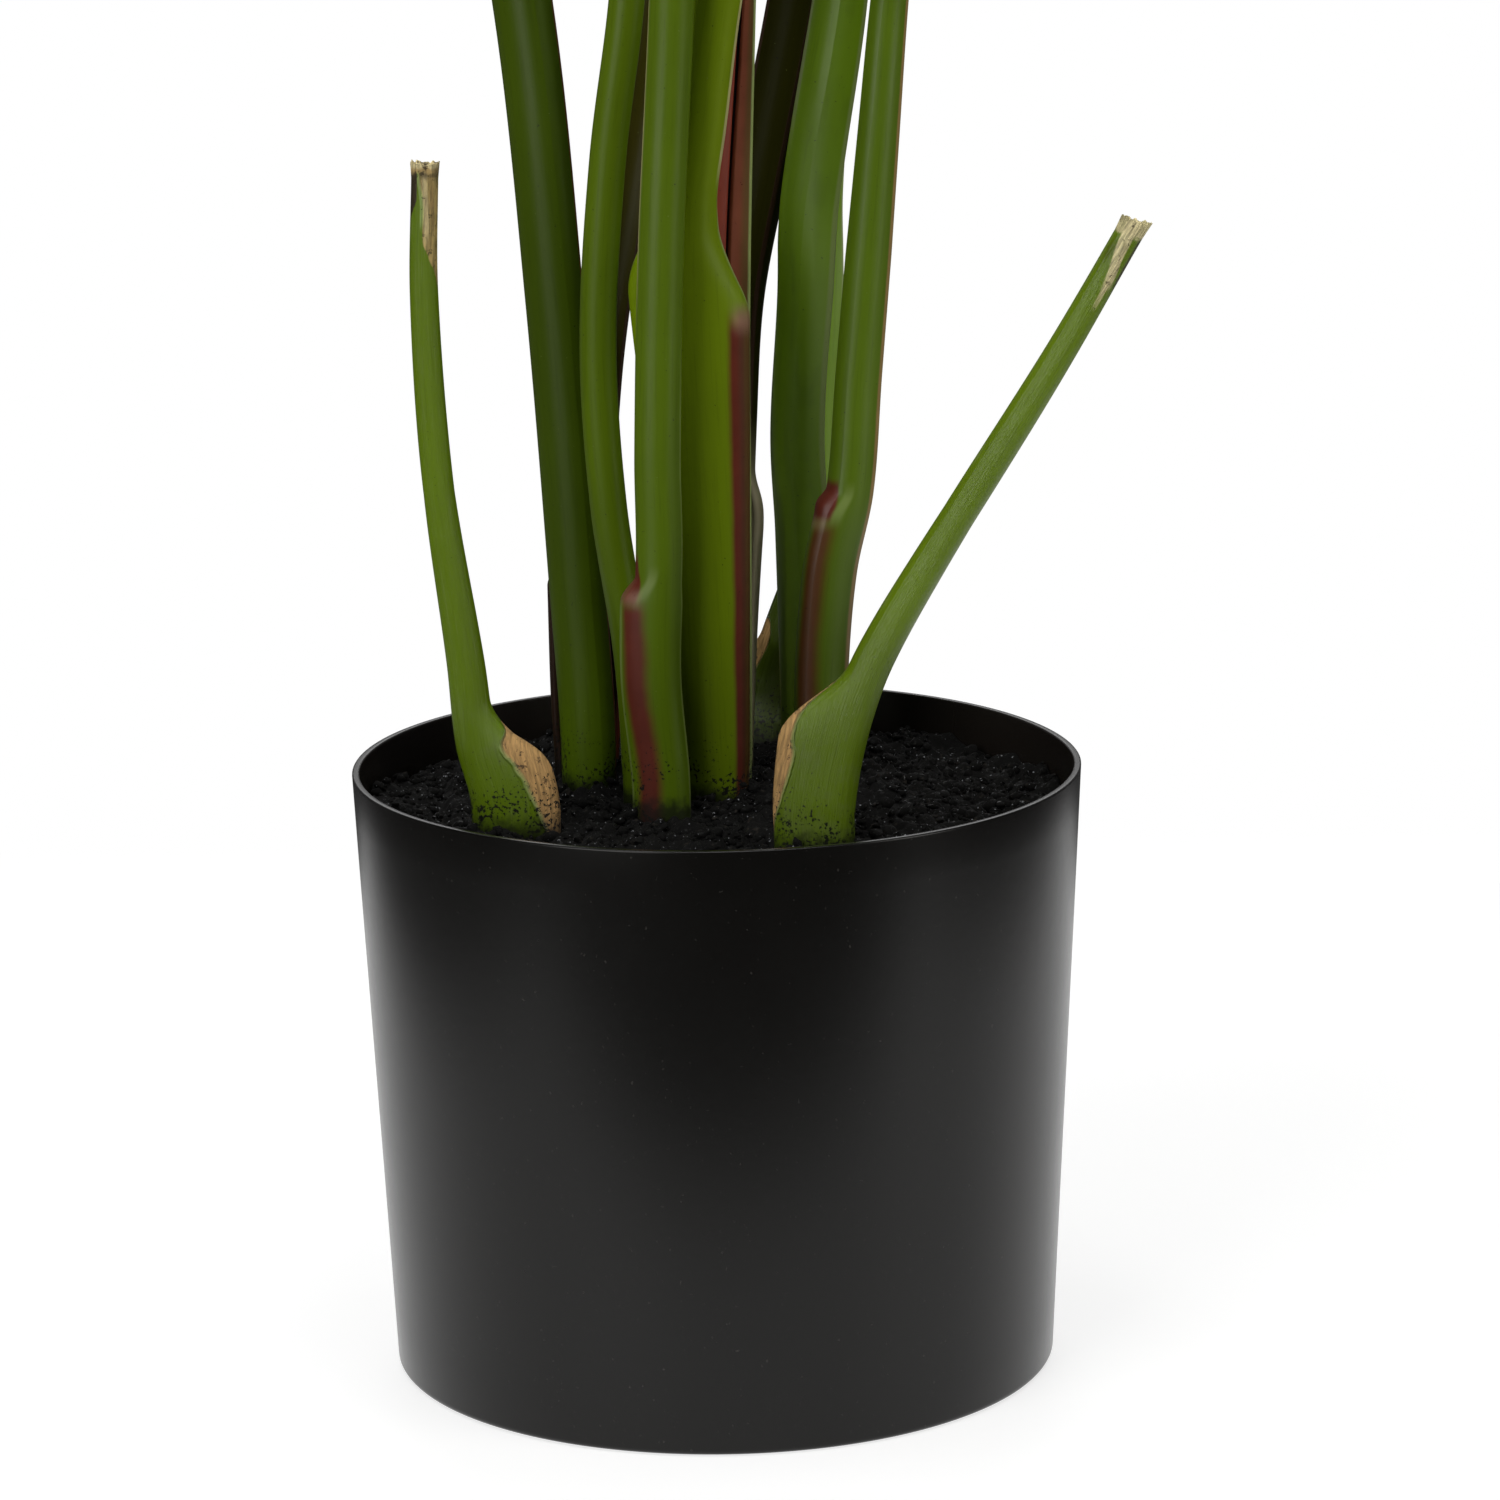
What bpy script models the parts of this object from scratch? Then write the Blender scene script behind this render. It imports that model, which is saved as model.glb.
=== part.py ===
"""A potted travelers palm: nine long-stalked paddle leaves and three cut stubs in a black nursery pot.

The origin is the centre of the pot's flat bottom, +Z is up and -Y is the front. Sizes are in millimetres
here and become metres as each mesh is made.
"""

import math
from typing import NamedTuple

import bmesh
import bpy
from mathutils import Vector

MM = 0.001
UP = Vector((0, 0, 1))

# Pot: 8 inches across the top, tapering to its foot.
POT_TOP_RADIUS = 101.6
POT_FOOT_RADIUS = 93.3
POT_HEIGHT = 171.4
POT_WALL = 2.1
POT_FLOOR = 3.0
FOOT_ROUNDING = 2.0
FOOT_STEPS = 3
POT_SIDES = 48

# Soil: it fills the pot to a little below the rim, and its top is uneven.
SOIL_LEVEL = 159.5
SOIL_MOUND = 2.2
SOIL_GAP = 0.35
SOIL_LUMP = 0.8
SOIL_LUMP_LENGTHS = (9.0, 13.0, 21.0)
SOIL_TOP_DEPTH = 1.0
SOIL_RING_SHARES = (0.8, 0.58, 0.36, 0.14)

# Stalks: each goes down into a plain blind hole, and is straight and plain up to its collar.
ROOT_LEVEL = 90.0
COLLAR_LEVEL = 166.0
GIRTH_LEVELS = (310.0, 385.0)
HOLE_GAP = 0.4
HOLE_TOP_LEVEL = 185.0

# Cross-section: points across from one margin to the other, on the round side and on the channelled side.
ACROSS = 9
MIDDLE = ACROSS // 2
ROUND_ARC = math.radians(118)
MARGIN_INSET = 0.92
MARGIN_LIP = 0.02
CHANNEL = 0.3
SHEATH_CHANNEL = 0.8
CHANNEL_FADE = 6.0
STALK_STEPS = 13
STALK_STEP_GROWTH = 1.35
SHEATH_EDGE_SHARES = (0.0, 0.35, 0.65, 1.0)
SHEATH_EDGE_CLEAR = 5.0
DIRECTION_STEP = 0.5

# Blade: its half width follows a rounded oblong with a short point, waved at the margins.
BLADE_STEPS = 19
BLADE_FIRST_STEP = 3
BLADE_FOOT_SHARES = (0.02, 0.05, 0.09)
BLADE_SHOULDER = 0.24
BLADE_SHOULDER_POWER = 2.4
BLADE_TAPER_START = 0.42
BLADE_TAPER_POWER = 2.6
BLADE_THICKNESS = 1.3
TIP_HALF_WIDTH = 2.5
RIB_EDGE_HALF_WIDTH = 4.5
RIB_TIP_HALF_WIDTH = 1.2
RIB_TIP_DEPTH = 0.6
RIB_TAPER_POWER = 0.7
RIB_HOLLOW = 0.4
VEIN_SLANT = math.radians(17)
FOLD = 0.3
DROOP = 12.0
WAVE = 5.0
WAVE_COUNT = 4.0
WAVE_ONSET = 0.15
WAVE_POWER = 1.5
TEAR_HALF_GAP = 0.012
STALK_TO_BLADE = 0.05


class Stem(NamedTuple):
    """A leaf, or a cut stub where blade is empty. Points are on its axis, in millimetres."""

    name: str
    stalk: tuple
    blade: tuple
    # Compass degrees, from +X towards +Y, of the round side at the soil and at the far end.
    facing: tuple
    # Half the width across, and the depth of the round side, at the collar, at GIRTH_LEVELS and at the blade.
    # A stub has them at its collar, half way up and at its cut end.
    half_width: tuple
    depth: tuple
    # Levels where the sheath's upper edge starts and ends, how far it widens either side, and the share of
    # that at the collar.
    sheath: tuple
    blade_half_width: float = 0.0
    # Tears as (share of the blade's length, side, share of the width that is left).
    tears: tuple = ()
    wave_shift: float = 0.0
    # How much lower the sheath's upper edge lies on the + side.
    sheath_drop: float = 0.0
    # Levels between which the stalk twists further, and by how many degrees.
    twist: tuple = ()


LEAVES = (
    Stem(
        "leaf_left",
        ((-36, 21, COLLAR_LEVEL), (-38.2, 23, 215), (-43, 26, 298), (-50, 29, 381), (-76, 34, 560),
         (-124, 40, 760)),
        ((-212, 48, 925), (-330, 56, 1010), (-420, 60, 1005), (-488, 63, 950)),
        (225, 200),
        (8.4, 9.1, 9.5, 5.4),
        (7.2, 7.7, 8.0, 4.6),
        (),
        78,
        ((0.36, -1, 0.42), (0.62, 1, 0.5), (0.78, -1, 0.55)),
        0.4,
    ),
    Stem(
        "leaf_back_left",
        ((-37, 39, COLLAR_LEVEL), (-35.4, 39, 205), (-30.4, 39, 275), (-24, 38, 325), (-13.5, 38, 380),
         (10, 50, 560), (22, 120, 840)),
        ((24, 205, 985), (20, 310, 1080), (12, 400, 1095), (5, 462, 1050)),
        (90, 95),
        (5.6, 5.7, 5.8, 4.8),
        (4.6, 4.9, 5.0, 4.0),
        (214, 224, 6.6, 6.8, 0.55),
        76,
        ((0.3, 1, 0.45), (0.56, -1, 0.5)),
        1.1,
    ),
    Stem(
        "leaf_inner_left",
        ((-21.4, 5, COLLAR_LEVEL), (-23, 3.5, 202), (-28.6, 1, 245), (-30.6, 0, 290), (-27, -2, 341),
         (-21, -4, 385), (-15.5, -3, 450), (-22, 2, 620), (-66, 12, 900)),
        ((-112, 26, 1070), (-172, 44, 1240), (-228, 64, 1355), (-272, 84, 1405)),
        (300, 180),
        (5.0, 5.0, 4.9, 4.8),
        (4.7, 4.7, 4.6, 4.2),
        (),
        74,
        ((0.42, 1, 0.4), (0.7, -1, 0.5)),
        2.3,
    ),
    Stem(
        "leaf_front",
        ((-14.2, -13.5, COLLAR_LEVEL), (-16.2, -15, 200), (-14.8, -16, 236), (-14.8, -17, 262),
         (-12.9, -18, 318), (-8.8, -20, 386), (-5, -29, 470), (-12, -66, 650), (-38, -122, 800)),
        ((-74, -208, 925), (-118, -300, 985), (-152, -370, 970), (-178, -422, 905)),
        (270, 246),
        (6.6, 6.3, 6.1, 5.0),
        (5.6, 5.7, 5.8, 4.2),
        (219, 228, 3.9, 0.4, 0.7),
        72,
        ((0.34, -1, 0.5), (0.6, 1, 0.4)),
        0.9,
    ),
    Stem(
        "leaf_centre",
        ((0.4, 3, COLLAR_LEVEL), (-0.6, 2, 200), (-3, 0, 262), (-4.6, -1, 304), (-4.2, -1.6, 330),
         (-1.2, -2.6, 351), (3.4, -4, 384), (15, -9, 450), (34, -24, 590), (76, -76, 830)),
        ((118, -152, 985), (170, -238, 1085), (216, -306, 1110), (250, -356, 1075)),
        (270, 304),
        (6.8, 6.8, 6.8, 4.9),
        (5.5, 5.8, 6.0, 4.2),
        (305, 333, 10.8, 9.4, 0.18),
        77,
        ((0.4, 1, 0.45), (0.58, -1, 0.4), (0.76, 1, 0.55)),
        1.7,
        sheath_drop=9.5,
    ),
    Stem(
        "leaf_newest",
        ((4.2, 12.5, COLLAR_LEVEL), (4.4, 11.5, 230), (4.6, 10.5, 300), (7, 9.5, 384), (12, 12, 520),
         (16, 20, 760), (16, 30, 980)),
        ((12, 48, 1150), (4, 76, 1340), (-4, 108, 1490), (-8, 136, 1572)),
        (120, 100),
        (6.0, 7.0, 7.3, 5.0),
        (4.4, 5.1, 5.4, 4.2),
        (),
        70,
        ((0.52, -1, 0.5),),
        0.2,
    ),
    Stem(
        "leaf_back_right",
        ((5.5, 34, COLLAR_LEVEL), (6, 37, 210), (6.3, 42, 262), (8.5, 47, 295), (14.6, 52, 326), (26, 57, 378),
         (44, 64, 470), (78, 74, 640), (138, 96, 850)),
        ((218, 130, 980), (318, 168, 1052), (400, 197, 1048), (460, 216, 995)),
        (70, 24),
        (6.0, 7.4, 8.2, 5.2),
        (5.2, 6.4, 7.0, 4.4),
        (236, 245, 2.4, 0.8, 0.1),
        76,
        ((0.38, 1, 0.5), (0.66, -1, 0.4)),
        2.9,
    ),
    Stem(
        "leaf_inner_right",
        ((29.6, 45, COLLAR_LEVEL), (28.9, 45, 227), (28, 45, 256), (30.7, 44.5, 295), (32, 44, 324),
         (39.6, 43, 378), (51, 41, 460), (69, 43, 640), (100, 60, 930)),
        ((134, 92, 1095), (176, 136, 1255), (218, 182, 1372), (250, 218, 1425)),
        (172, 23),
        (6.8, 7.8, 8.0, 5.0),
        (11.0, 11.8, 9.4, 4.4),
        (),
        75,
        ((0.33, -1, 0.45), (0.6, 1, 0.5), (0.74, -1, 0.6)),
        0.6,
        twist=(270, 390, 45),
    ),
    Stem(
        "leaf_right",
        ((30.6, 27, COLLAR_LEVEL), (31.2, 27.5, 192), (34, 28, 220), (39, 28.5, 243), (41.8, 29, 276),
         (48.1, 29, 345), (51.3, 29, 380), (63, 22, 490), (84, 4, 630), (122, -28, 790)),
        ((204, -66, 915), (314, -110, 975), (398, -142, 955), (458, -164, 890)),
        (300, 340),
        (7.2, 6.7, 5.5, 4.8),
        (5.5, 5.6, 4.8, 4.2),
        (233, 245, 2.8, 0.0, 0.55),
        77,
        ((0.44, -1, 0.4), (0.68, 1, 0.5)),
        2.0,
    ),
)

STUBS = (
    Stem(
        "stub_left",
        ((-61.5, -31, COLLAR_LEVEL), (-66, -31, 186), (-68.2, -31.5, 208), (-74.5, -32.3, 259),
         (-76.8, -33, 310), (-75.6, -33.4, 346)),
        (),
        (262, 262),
        (6.0, 4.15, 3.55),
        (5.7, 4.0, 3.4),
        (173, 198, 0.0, 12.6, 1.0),
    ),
    Stem(
        "stub_right",
        ((30.9, -54, COLLAR_LEVEL), (32.6, -54, 180), (37, -53.8, 197), (43.5, -53.4, 213), (58, -52.8, 238),
         (92, -51.7, 292), (114.2, -51, 330)),
        (),
        (278, 278),
        (6.4, 4.45, 3.7),
        (6.0, 4.2, 3.5),
        (188, 210, 12.2, 0.0, 0.77),
    ),
    Stem(
        "stub_back",
        ((13.5, 72, COLLAR_LEVEL), (17.5, 73, 185), (27.5, 75, 212), (32, 76, 223)),
        (),
        (80, 80),
        (6.4, 5.9, 5.4),
        (5.8, 5.3, 4.8),
        (178, 192, 3.0, 5.0, 1.0),
    ),
)


def clear_scene():
    for obj in list(bpy.data.objects):
        bpy.data.objects.remove(obj)


def smooth_step(low, high, value):
    """0 up to low, 1 from high on, and an even S between them."""
    share = min(1.0, max(0.0, (value - low) / (high - low)))
    return share * share * (3 - 2 * share)


def mixed(start, end, share):
    return start + (end - start) * share


class Axis:
    """A smooth curve through a stem's points, straight and upright from its root to its collar."""

    def __init__(self, points):
        collar = Vector(points[0])
        root = Vector((collar.x, collar.y, ROOT_LEVEL))
        self.points = [root] + [Vector(point) for point in points]
        self.marks = [0.0]
        for low, high in zip(self.points, self.points[1:]):
            self.marks.append(self.marks[-1] + (high - low).length)
        self.length = self.marks[-1]
        self.slopes = [self._slope(i) for i in range(len(self.points))]

    def _slope(self, i):
        if i < 2:
            return UP.copy()
        last = min(i + 1, len(self.points) - 1)
        span = self.marks[last] - self.marks[i - 1]
        return (self.points[last] - self.points[i - 1]) / span

    def _span(self, distance):
        i = len(self.marks) - 2
        while i and self.marks[i] > distance:
            i -= 1
        size = self.marks[i + 1] - self.marks[i]
        return i, size, (distance - self.marks[i]) / size

    def at(self, distance):
        i, size, t = self._span(distance)
        start = self.points[i] * (1 + 2 * t) * (1 - t) ** 2
        end = self.points[i + 1] * t * t * (3 - 2 * t)
        leave = self.slopes[i] * size * t * (1 - t) ** 2
        arrive = self.slopes[i + 1] * size * t * t * (t - 1)
        return start + end + leave + arrive

    def direction(self, distance):
        low = max(0.0, distance - DIRECTION_STEP)
        high = min(self.length, distance + DIRECTION_STEP)
        return (self.at(high) - self.at(low)).normalized()


class Form:
    """The shape of one stem: where each point of its skin lies."""

    def __init__(self, stem):
        self.stem = stem
        self.axis = Axis(stem.stalk + stem.blade)
        self.collar = self.axis.marks[1]
        self.stalk_end = self.axis.marks[len(stem.stalk)]
        self.blade_length = self.axis.length - self.stalk_end
        middle = [level - ROOT_LEVEL for level in GIRTH_LEVELS]
        if not stem.blade:
            middle = [(self.collar + self.stalk_end) / 2]
        self.girth_marks = [self.collar, *middle, self.stalk_end]

    def frame(self, distance):
        """The axis's point, the way across and the way out of the round side."""
        share = smooth_step(self.collar, self.stalk_end, distance)
        turn = mixed(*self.stem.facing, share)
        if self.stem.twist:
            low, high, more = self.stem.twist
            turn += more * smooth_step(low - ROOT_LEVEL, high - ROOT_LEVEL, distance)
        turn = math.radians(turn)
        along = self.axis.direction(distance)
        across = Vector((-math.sin(turn), math.cos(turn), 0))
        across = (across - along * across.dot(along)).normalized()
        return self.axis.at(distance), across, across.cross(along), along

    def sheath_share(self, distance):
        """1 in the sheath and 0 above its upper edge."""
        if not self.stem.sheath:
            return 0.0
        low, high = self.stem.sheath[:2]
        return 1 - smooth_step(low - ROOT_LEVEL, high - ROOT_LEVEL, distance)

    def girth(self, sizes, distance):
        """A size of the stalk, which is given at each of girth_marks."""
        marks = self.girth_marks
        i = 0
        while i < len(marks) - 2 and distance > marks[i + 1]:
            i += 1
        if i == len(marks) - 2:
            share = smooth_step(marks[i], marks[i + 1], distance)
        else:
            share = max(0.0, distance - marks[i]) / (marks[i + 1] - marks[i])
        return mixed(sizes[i], sizes[i + 1], share)

    def half_width(self, distance, side):
        """Half the stalk's width on one side, with the sheath's share there."""
        plain = self.girth(self.stem.half_width, distance)
        if not self.stem.sheath:
            return plain
        low, _, left, right, at_collar = self.stem.sheath
        rise = max(0.0, min(1.0, (distance - self.collar) / (low - COLLAR_LEVEL)))
        extra = right if side > 0 else left
        drop = self.stem.sheath_drop if side > 0 else 0.0
        return plain + extra * mixed(at_collar, 1.0, rise) * self.sheath_share(distance + drop)

    def stalk_point(self, distance, column, inner, gap=0.0):
        """(across, out) of a point of the stalk's section. gap widens it for its hole."""
        share = (column - MIDDLE) / MIDDLE
        width = self.half_width(distance, share) + gap
        depth = self.girth(self.stem.depth, distance) + gap
        angle = share * ROUND_ARC
        if not inner:
            return width * math.sin(angle), depth * math.cos(angle)
        edge = width * math.sin(ROUND_ARC) * MARGIN_INSET
        fade = smooth_step(self.collar, self.collar + CHANNEL_FADE, distance)
        channel = mixed(CHANNEL, SHEATH_CHANNEL, self.sheath_share(distance)) * fade
        floor = depth * (math.cos(ROUND_ARC) - MARGIN_LIP)
        return edge * share, floor + depth * channel * (1 - share * share)

    def blade_half_width(self, share, side):
        """Half the blade's width at a share of its length, with its tears."""
        full = self.stem.blade_half_width
        if share < BLADE_SHOULDER:
            full *= 1 - (1 - share / BLADE_SHOULDER) ** BLADE_SHOULDER_POWER
        if share > BLADE_TAPER_START:
            full *= 1 - ((share - BLADE_TAPER_START) / (1 - BLADE_TAPER_START)) ** BLADE_TAPER_POWER
        for place, torn_side, left in self.stem.tears:
            near = max(0.0, 1 - abs(share - place) / TEAR_HALF_GAP)
            if torn_side * side > 0:
                full *= 1 - (1 - left) * near
        return max(full, TIP_HALF_WIDTH)

    def blade_point(self, distance, column, inner):
        """(across, out, along) of a point of the blade's section."""
        share = (distance - self.stalk_end) / self.blade_length
        side = (column > MIDDLE) - (column < MIDDLE)
        step = abs(column - MIDDLE)
        width = self.blade_half_width(share, side)
        rib = min(mixed(RIB_EDGE_HALF_WIDTH, RIB_TIP_HALF_WIDTH, share), width / 2)
        reach = 0.0 if not step else mixed(rib, width, (step - 1) / (MIDDLE - 1))
        part = reach / self.stem.blade_half_width
        lift = reach * FOLD * (1 - share) ** 2 - DROOP * share * part * part
        phase = 2 * math.pi * WAVE_COUNT * share + self.stem.wave_shift + side
        lift += WAVE * part ** WAVE_POWER * math.sin(phase) * smooth_step(0.0, WAVE_ONSET, share)
        skin = BLADE_THICKNESS / 2
        if inner:
            skin += RIB_HOLLOW if step == 1 else 0.0
            skin = -skin
        elif not step:
            skin += mixed(self.stem.depth[-1], RIB_TIP_DEPTH, share ** RIB_TAPER_POWER)
        return side * reach, skin - lift, reach * math.tan(VEIN_SLANT)

    def point(self, distance, column, inner, gap=0.0):
        place, across, out, along = self.frame(distance)
        side, depth = self.stalk_point(min(distance, self.stalk_end), column, inner, gap)
        slant = 0.0
        if self.stem.blade and distance > self.stalk_end - self.blade_length * STALK_TO_BLADE:
            start = self.stalk_end - self.blade_length * STALK_TO_BLADE
            end = self.stalk_end + self.blade_length * STALK_TO_BLADE
            share = smooth_step(start, end, distance)
            wide = self.blade_point(max(distance, self.stalk_end), column, inner)
            side, depth, slant = (mixed(a, b, share) for a, b in zip((side, depth, 0.0), wide))
        return place + across * side + out * depth + along * slant

    def stations(self):
        """Distances along the axis at which the skin has a ring of points."""
        rings = {0.0, self.collar}
        reach = self.stalk_end - self.collar
        for i in range(1, STALK_STEPS + 1):
            rings.add(self.collar + reach * (i / STALK_STEPS) ** STALK_STEP_GROWTH)
        if self.stem.sheath:
            low, high = (level - ROOT_LEVEL for level in self.stem.sheath[:2])
            low -= self.stem.sheath_drop
            rings = {ring for ring in rings if not low - SHEATH_EDGE_CLEAR < ring < high + SHEATH_EDGE_CLEAR}
            rings |= {mixed(low, high, share) for share in SHEATH_EDGE_SHARES}
        if self.stem.blade:
            rings |= {self.stalk_end + self.blade_length * share for share in self.blade_shares()}
        return sorted(rings)

    def blade_shares(self):
        shares = set(BLADE_FOOT_SHARES) | {i / BLADE_STEPS for i in range(BLADE_FIRST_STEP, BLADE_STEPS + 1)}
        for place, _, _ in self.stem.tears:
            shares = {share for share in shares if abs(share - place) > 2 * TEAR_HALF_GAP}
            shares |= {place - TEAR_HALF_GAP, place, place + TEAR_HALF_GAP}
        return shares


def material(name, colour, roughness):
    made = bpy.data.materials.new(name)
    made.use_nodes = True
    shader = made.node_tree.nodes["Principled BSDF"]
    shader.inputs["Base Color"].default_value = (*colour, 1)
    shader.inputs["Roughness"].default_value = roughness
    shader.inputs["Metallic"].default_value = 0.0
    return made


def ring_solid(name, rings, sides, place):
    """A closed solid of rings of points, capped at both ends. place(ring, side) gives each point."""
    bm = bmesh.new()
    bmesh.ops.create_cone(bm, cap_ends=True, segments=sides, radius1=1, radius2=1, depth=1)
    lengthwise = [edge for edge in bm.edges if abs(edge.verts[0].co.z - edge.verts[1].co.z) > 0.5]
    if rings > 2:
        bmesh.ops.subdivide_edges(bm, edges=lengthwise, cuts=rings - 2, use_grid_fill=True)
    keys = {}
    for vert in bm.verts:
        turn = math.atan2(vert.co.y, vert.co.x) / (2 * math.pi) * sides
        keys[vert] = (round((vert.co.z + 0.5) * (rings - 1)), round(turn) % sides)
    for vert, (ring, side) in keys.items():
        vert.co = place(ring, side) * MM
    split_faces_alike(bm, keys, sides)
    mesh = bpy.data.meshes.new(name)
    bm.to_mesh(mesh)
    bm.free()
    obj = bpy.data.objects.new(name, mesh)
    bpy.context.scene.collection.objects.link(obj)
    return obj


def split_faces_alike(bm, keys, sides):
    """Halves each four-sided face by one rule, so a thin blade's two faces bend along the same lines."""
    for face in list(bm.faces):
        if len({keys[vert][0] for vert in face.verts}) != 2 or len(face.verts) != 4:
            continue
        ordered = sorted(face.verts, key=lambda v: (keys[v][0], min(keys[v][1], sides - 1 - keys[v][1])))
        bmesh.utils.face_split(face, ordered[0], ordered[3])
    caps = [face for face in bm.faces if len(face.verts) > 3]
    bmesh.ops.triangulate(bm, faces=caps)


def finish(obj, surface, sharp_degrees=40):
    obj.data.materials.append(surface)
    obj.data.shade_smooth()
    obj.data.set_sharp_from_angle(angle=math.radians(sharp_degrees))
    return obj


def wall_radius(level):
    return mixed(POT_FOOT_RADIUS, POT_TOP_RADIUS, level / POT_HEIGHT)


def pot_profile():
    """(radius, level) from the bottom's edge, up the outside, over the rim and down the inside."""
    foot = []
    for i in range(FOOT_STEPS + 1):
        turn = math.pi / 2 * i / FOOT_STEPS
        radius = wall_radius(FOOT_ROUNDING) - FOOT_ROUNDING * (1 - math.sin(turn))
        foot.append((radius, FOOT_ROUNDING * (1 - math.cos(turn))))
    outside = [(wall_radius(POT_HEIGHT / 2), POT_HEIGHT / 2), (POT_TOP_RADIUS, POT_HEIGHT)]
    inside = [(POT_TOP_RADIUS - POT_WALL, POT_HEIGHT), (wall_radius(POT_FLOOR) - POT_WALL, POT_FLOOR)]
    return foot + outside + inside


def make_turned(name, profile, height_at=None):
    """A solid turned from (radius, level) pairs. height_at lifts the points of an uneven top."""

    def place(ring, side):
        radius, level = profile[ring]
        turn = 2 * math.pi * side / POT_SIDES
        point = Vector((radius * math.cos(turn), radius * math.sin(turn), level))
        if height_at:
            point.z += height_at(point)
        return point

    return ring_solid(name, len(profile), POT_SIDES, place)


def make_pot():
    plastic = material("black_plastic", (0.012, 0.012, 0.011), 0.34)
    return finish(make_turned("pot", pot_profile()), plastic)


def soil_lump(point):
    """How far the soil's top stands off its level at a point. Below the top it is zero."""
    if point.z < SOIL_LEVEL - SOIL_TOP_DEPTH:
        return 0.0
    mound = SOIL_MOUND * (1 - (math.hypot(point.x, point.y) / POT_TOP_RADIUS) ** 2)
    short, middle, long = SOIL_LUMP_LENGTHS
    lump = math.sin(point.x / short) * math.cos(point.y / middle) + math.sin((point.x + point.y) / long)
    return mound + SOIL_LUMP * lump


def make_soil(cutters):
    gap = POT_WALL + SOIL_GAP
    floor = POT_FLOOR + SOIL_GAP
    edge = wall_radius(SOIL_LEVEL) - gap
    profile = [(wall_radius(floor) - gap, floor), (edge, SOIL_LEVEL)]
    profile += [(edge * share, SOIL_LEVEL) for share in SOIL_RING_SHARES]
    soil = make_turned("soil", profile, soil_lump)
    holes = soil.modifiers.new("holes", "BOOLEAN")
    holes.operation = "DIFFERENCE"
    holes.operand_type = "COLLECTION"
    holes.collection = cutters
    holes.solver = "EXACT"
    return finish(soil, material("soil", (0.012, 0.011, 0.011), 0.95))


def make_stem(stem, surface):
    """One leaf or stub: a closed skin of rings along its axis."""
    form = Form(stem)
    stations = form.stations()

    def place(ring, side):
        inner = side >= ACROSS
        column = 2 * ACROSS - 1 - side if inner else side
        return form.point(stations[ring], column, inner)

    return finish(ring_solid(stem.name, len(stations), 2 * ACROSS, place), surface)


def make_hole_cutter(stem, cutters):
    """A plain prism of the stem's foot, a little wider, from under its root to above the soil."""
    form = Form(stem)
    levels = (ROOT_LEVEL - HOLE_GAP, HOLE_TOP_LEVEL)

    def place(ring, side):
        inner = side >= ACROSS
        column = 2 * ACROSS - 1 - side if inner else side
        point = form.point(0.0, column, inner, HOLE_GAP)
        point.z = levels[ring]
        return point

    cutter = ring_solid("hole_" + stem.name, 2, 2 * ACROSS, place)
    bpy.context.scene.collection.objects.unlink(cutter)
    cutters.objects.link(cutter)
    cutter.hide_render = True
    cutter.display_type = "WIRE"


def main():
    clear_scene()
    cutters = bpy.data.collections.new("hole_cutters")
    bpy.context.scene.collection.children.link(cutters)
    leaf_green = material("leaf_green", (0.05, 0.12, 0.015), 0.38)
    stub_green = material("stub_green", (0.07, 0.16, 0.02), 0.35)
    for stem in LEAVES:
        make_stem(stem, leaf_green)
    for stem in STUBS:
        make_stem(stem, stub_green)
    for stem in LEAVES + STUBS:
        make_hole_cutter(stem, cutters)
    make_pot()
    make_soil(cutters)


main()
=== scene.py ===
"""Potted travelers palm: the finished pot, soil, leaves and cut stubs, and the stage they are seen on.

Lengths are in millimetres here, and become metres as each mesh is made. Only the stage's are in metres.
Levels are heights above the pot's flat bottom. Compass degrees run from +X towards +Y, and -Y is the front.
"""

import math
import random
from typing import NamedTuple

import bmesh
import bpy
from bpy.props import FloatProperty, FloatVectorProperty, IntProperty, PointerProperty
from mathutils import Matrix, Vector, noise


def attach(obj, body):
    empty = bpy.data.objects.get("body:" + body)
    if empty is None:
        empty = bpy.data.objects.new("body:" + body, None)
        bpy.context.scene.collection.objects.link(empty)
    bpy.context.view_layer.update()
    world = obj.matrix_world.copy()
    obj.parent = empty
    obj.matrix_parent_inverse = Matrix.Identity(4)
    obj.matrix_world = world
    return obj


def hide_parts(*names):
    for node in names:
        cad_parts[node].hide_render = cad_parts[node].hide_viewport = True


bl_info = {
    "name": "Potted Travelers Palm",
    "version": (1, 0, 0),
    "blender": (4, 5, 0),
    "location": "3D View > Sidebar > Palm",
    "description": "Makes a travelers palm in a black nursery pot, with its soil, leaves and cut stubs",
    "category": "Object",
}

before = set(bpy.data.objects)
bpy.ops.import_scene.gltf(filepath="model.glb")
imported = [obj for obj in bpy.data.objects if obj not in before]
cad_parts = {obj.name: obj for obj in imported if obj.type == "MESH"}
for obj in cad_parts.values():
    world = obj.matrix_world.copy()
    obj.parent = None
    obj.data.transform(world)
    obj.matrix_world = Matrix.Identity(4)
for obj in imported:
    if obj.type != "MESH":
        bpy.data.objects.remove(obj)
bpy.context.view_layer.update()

MM = 0.001
UP = Vector((0, 0, 1))

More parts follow.
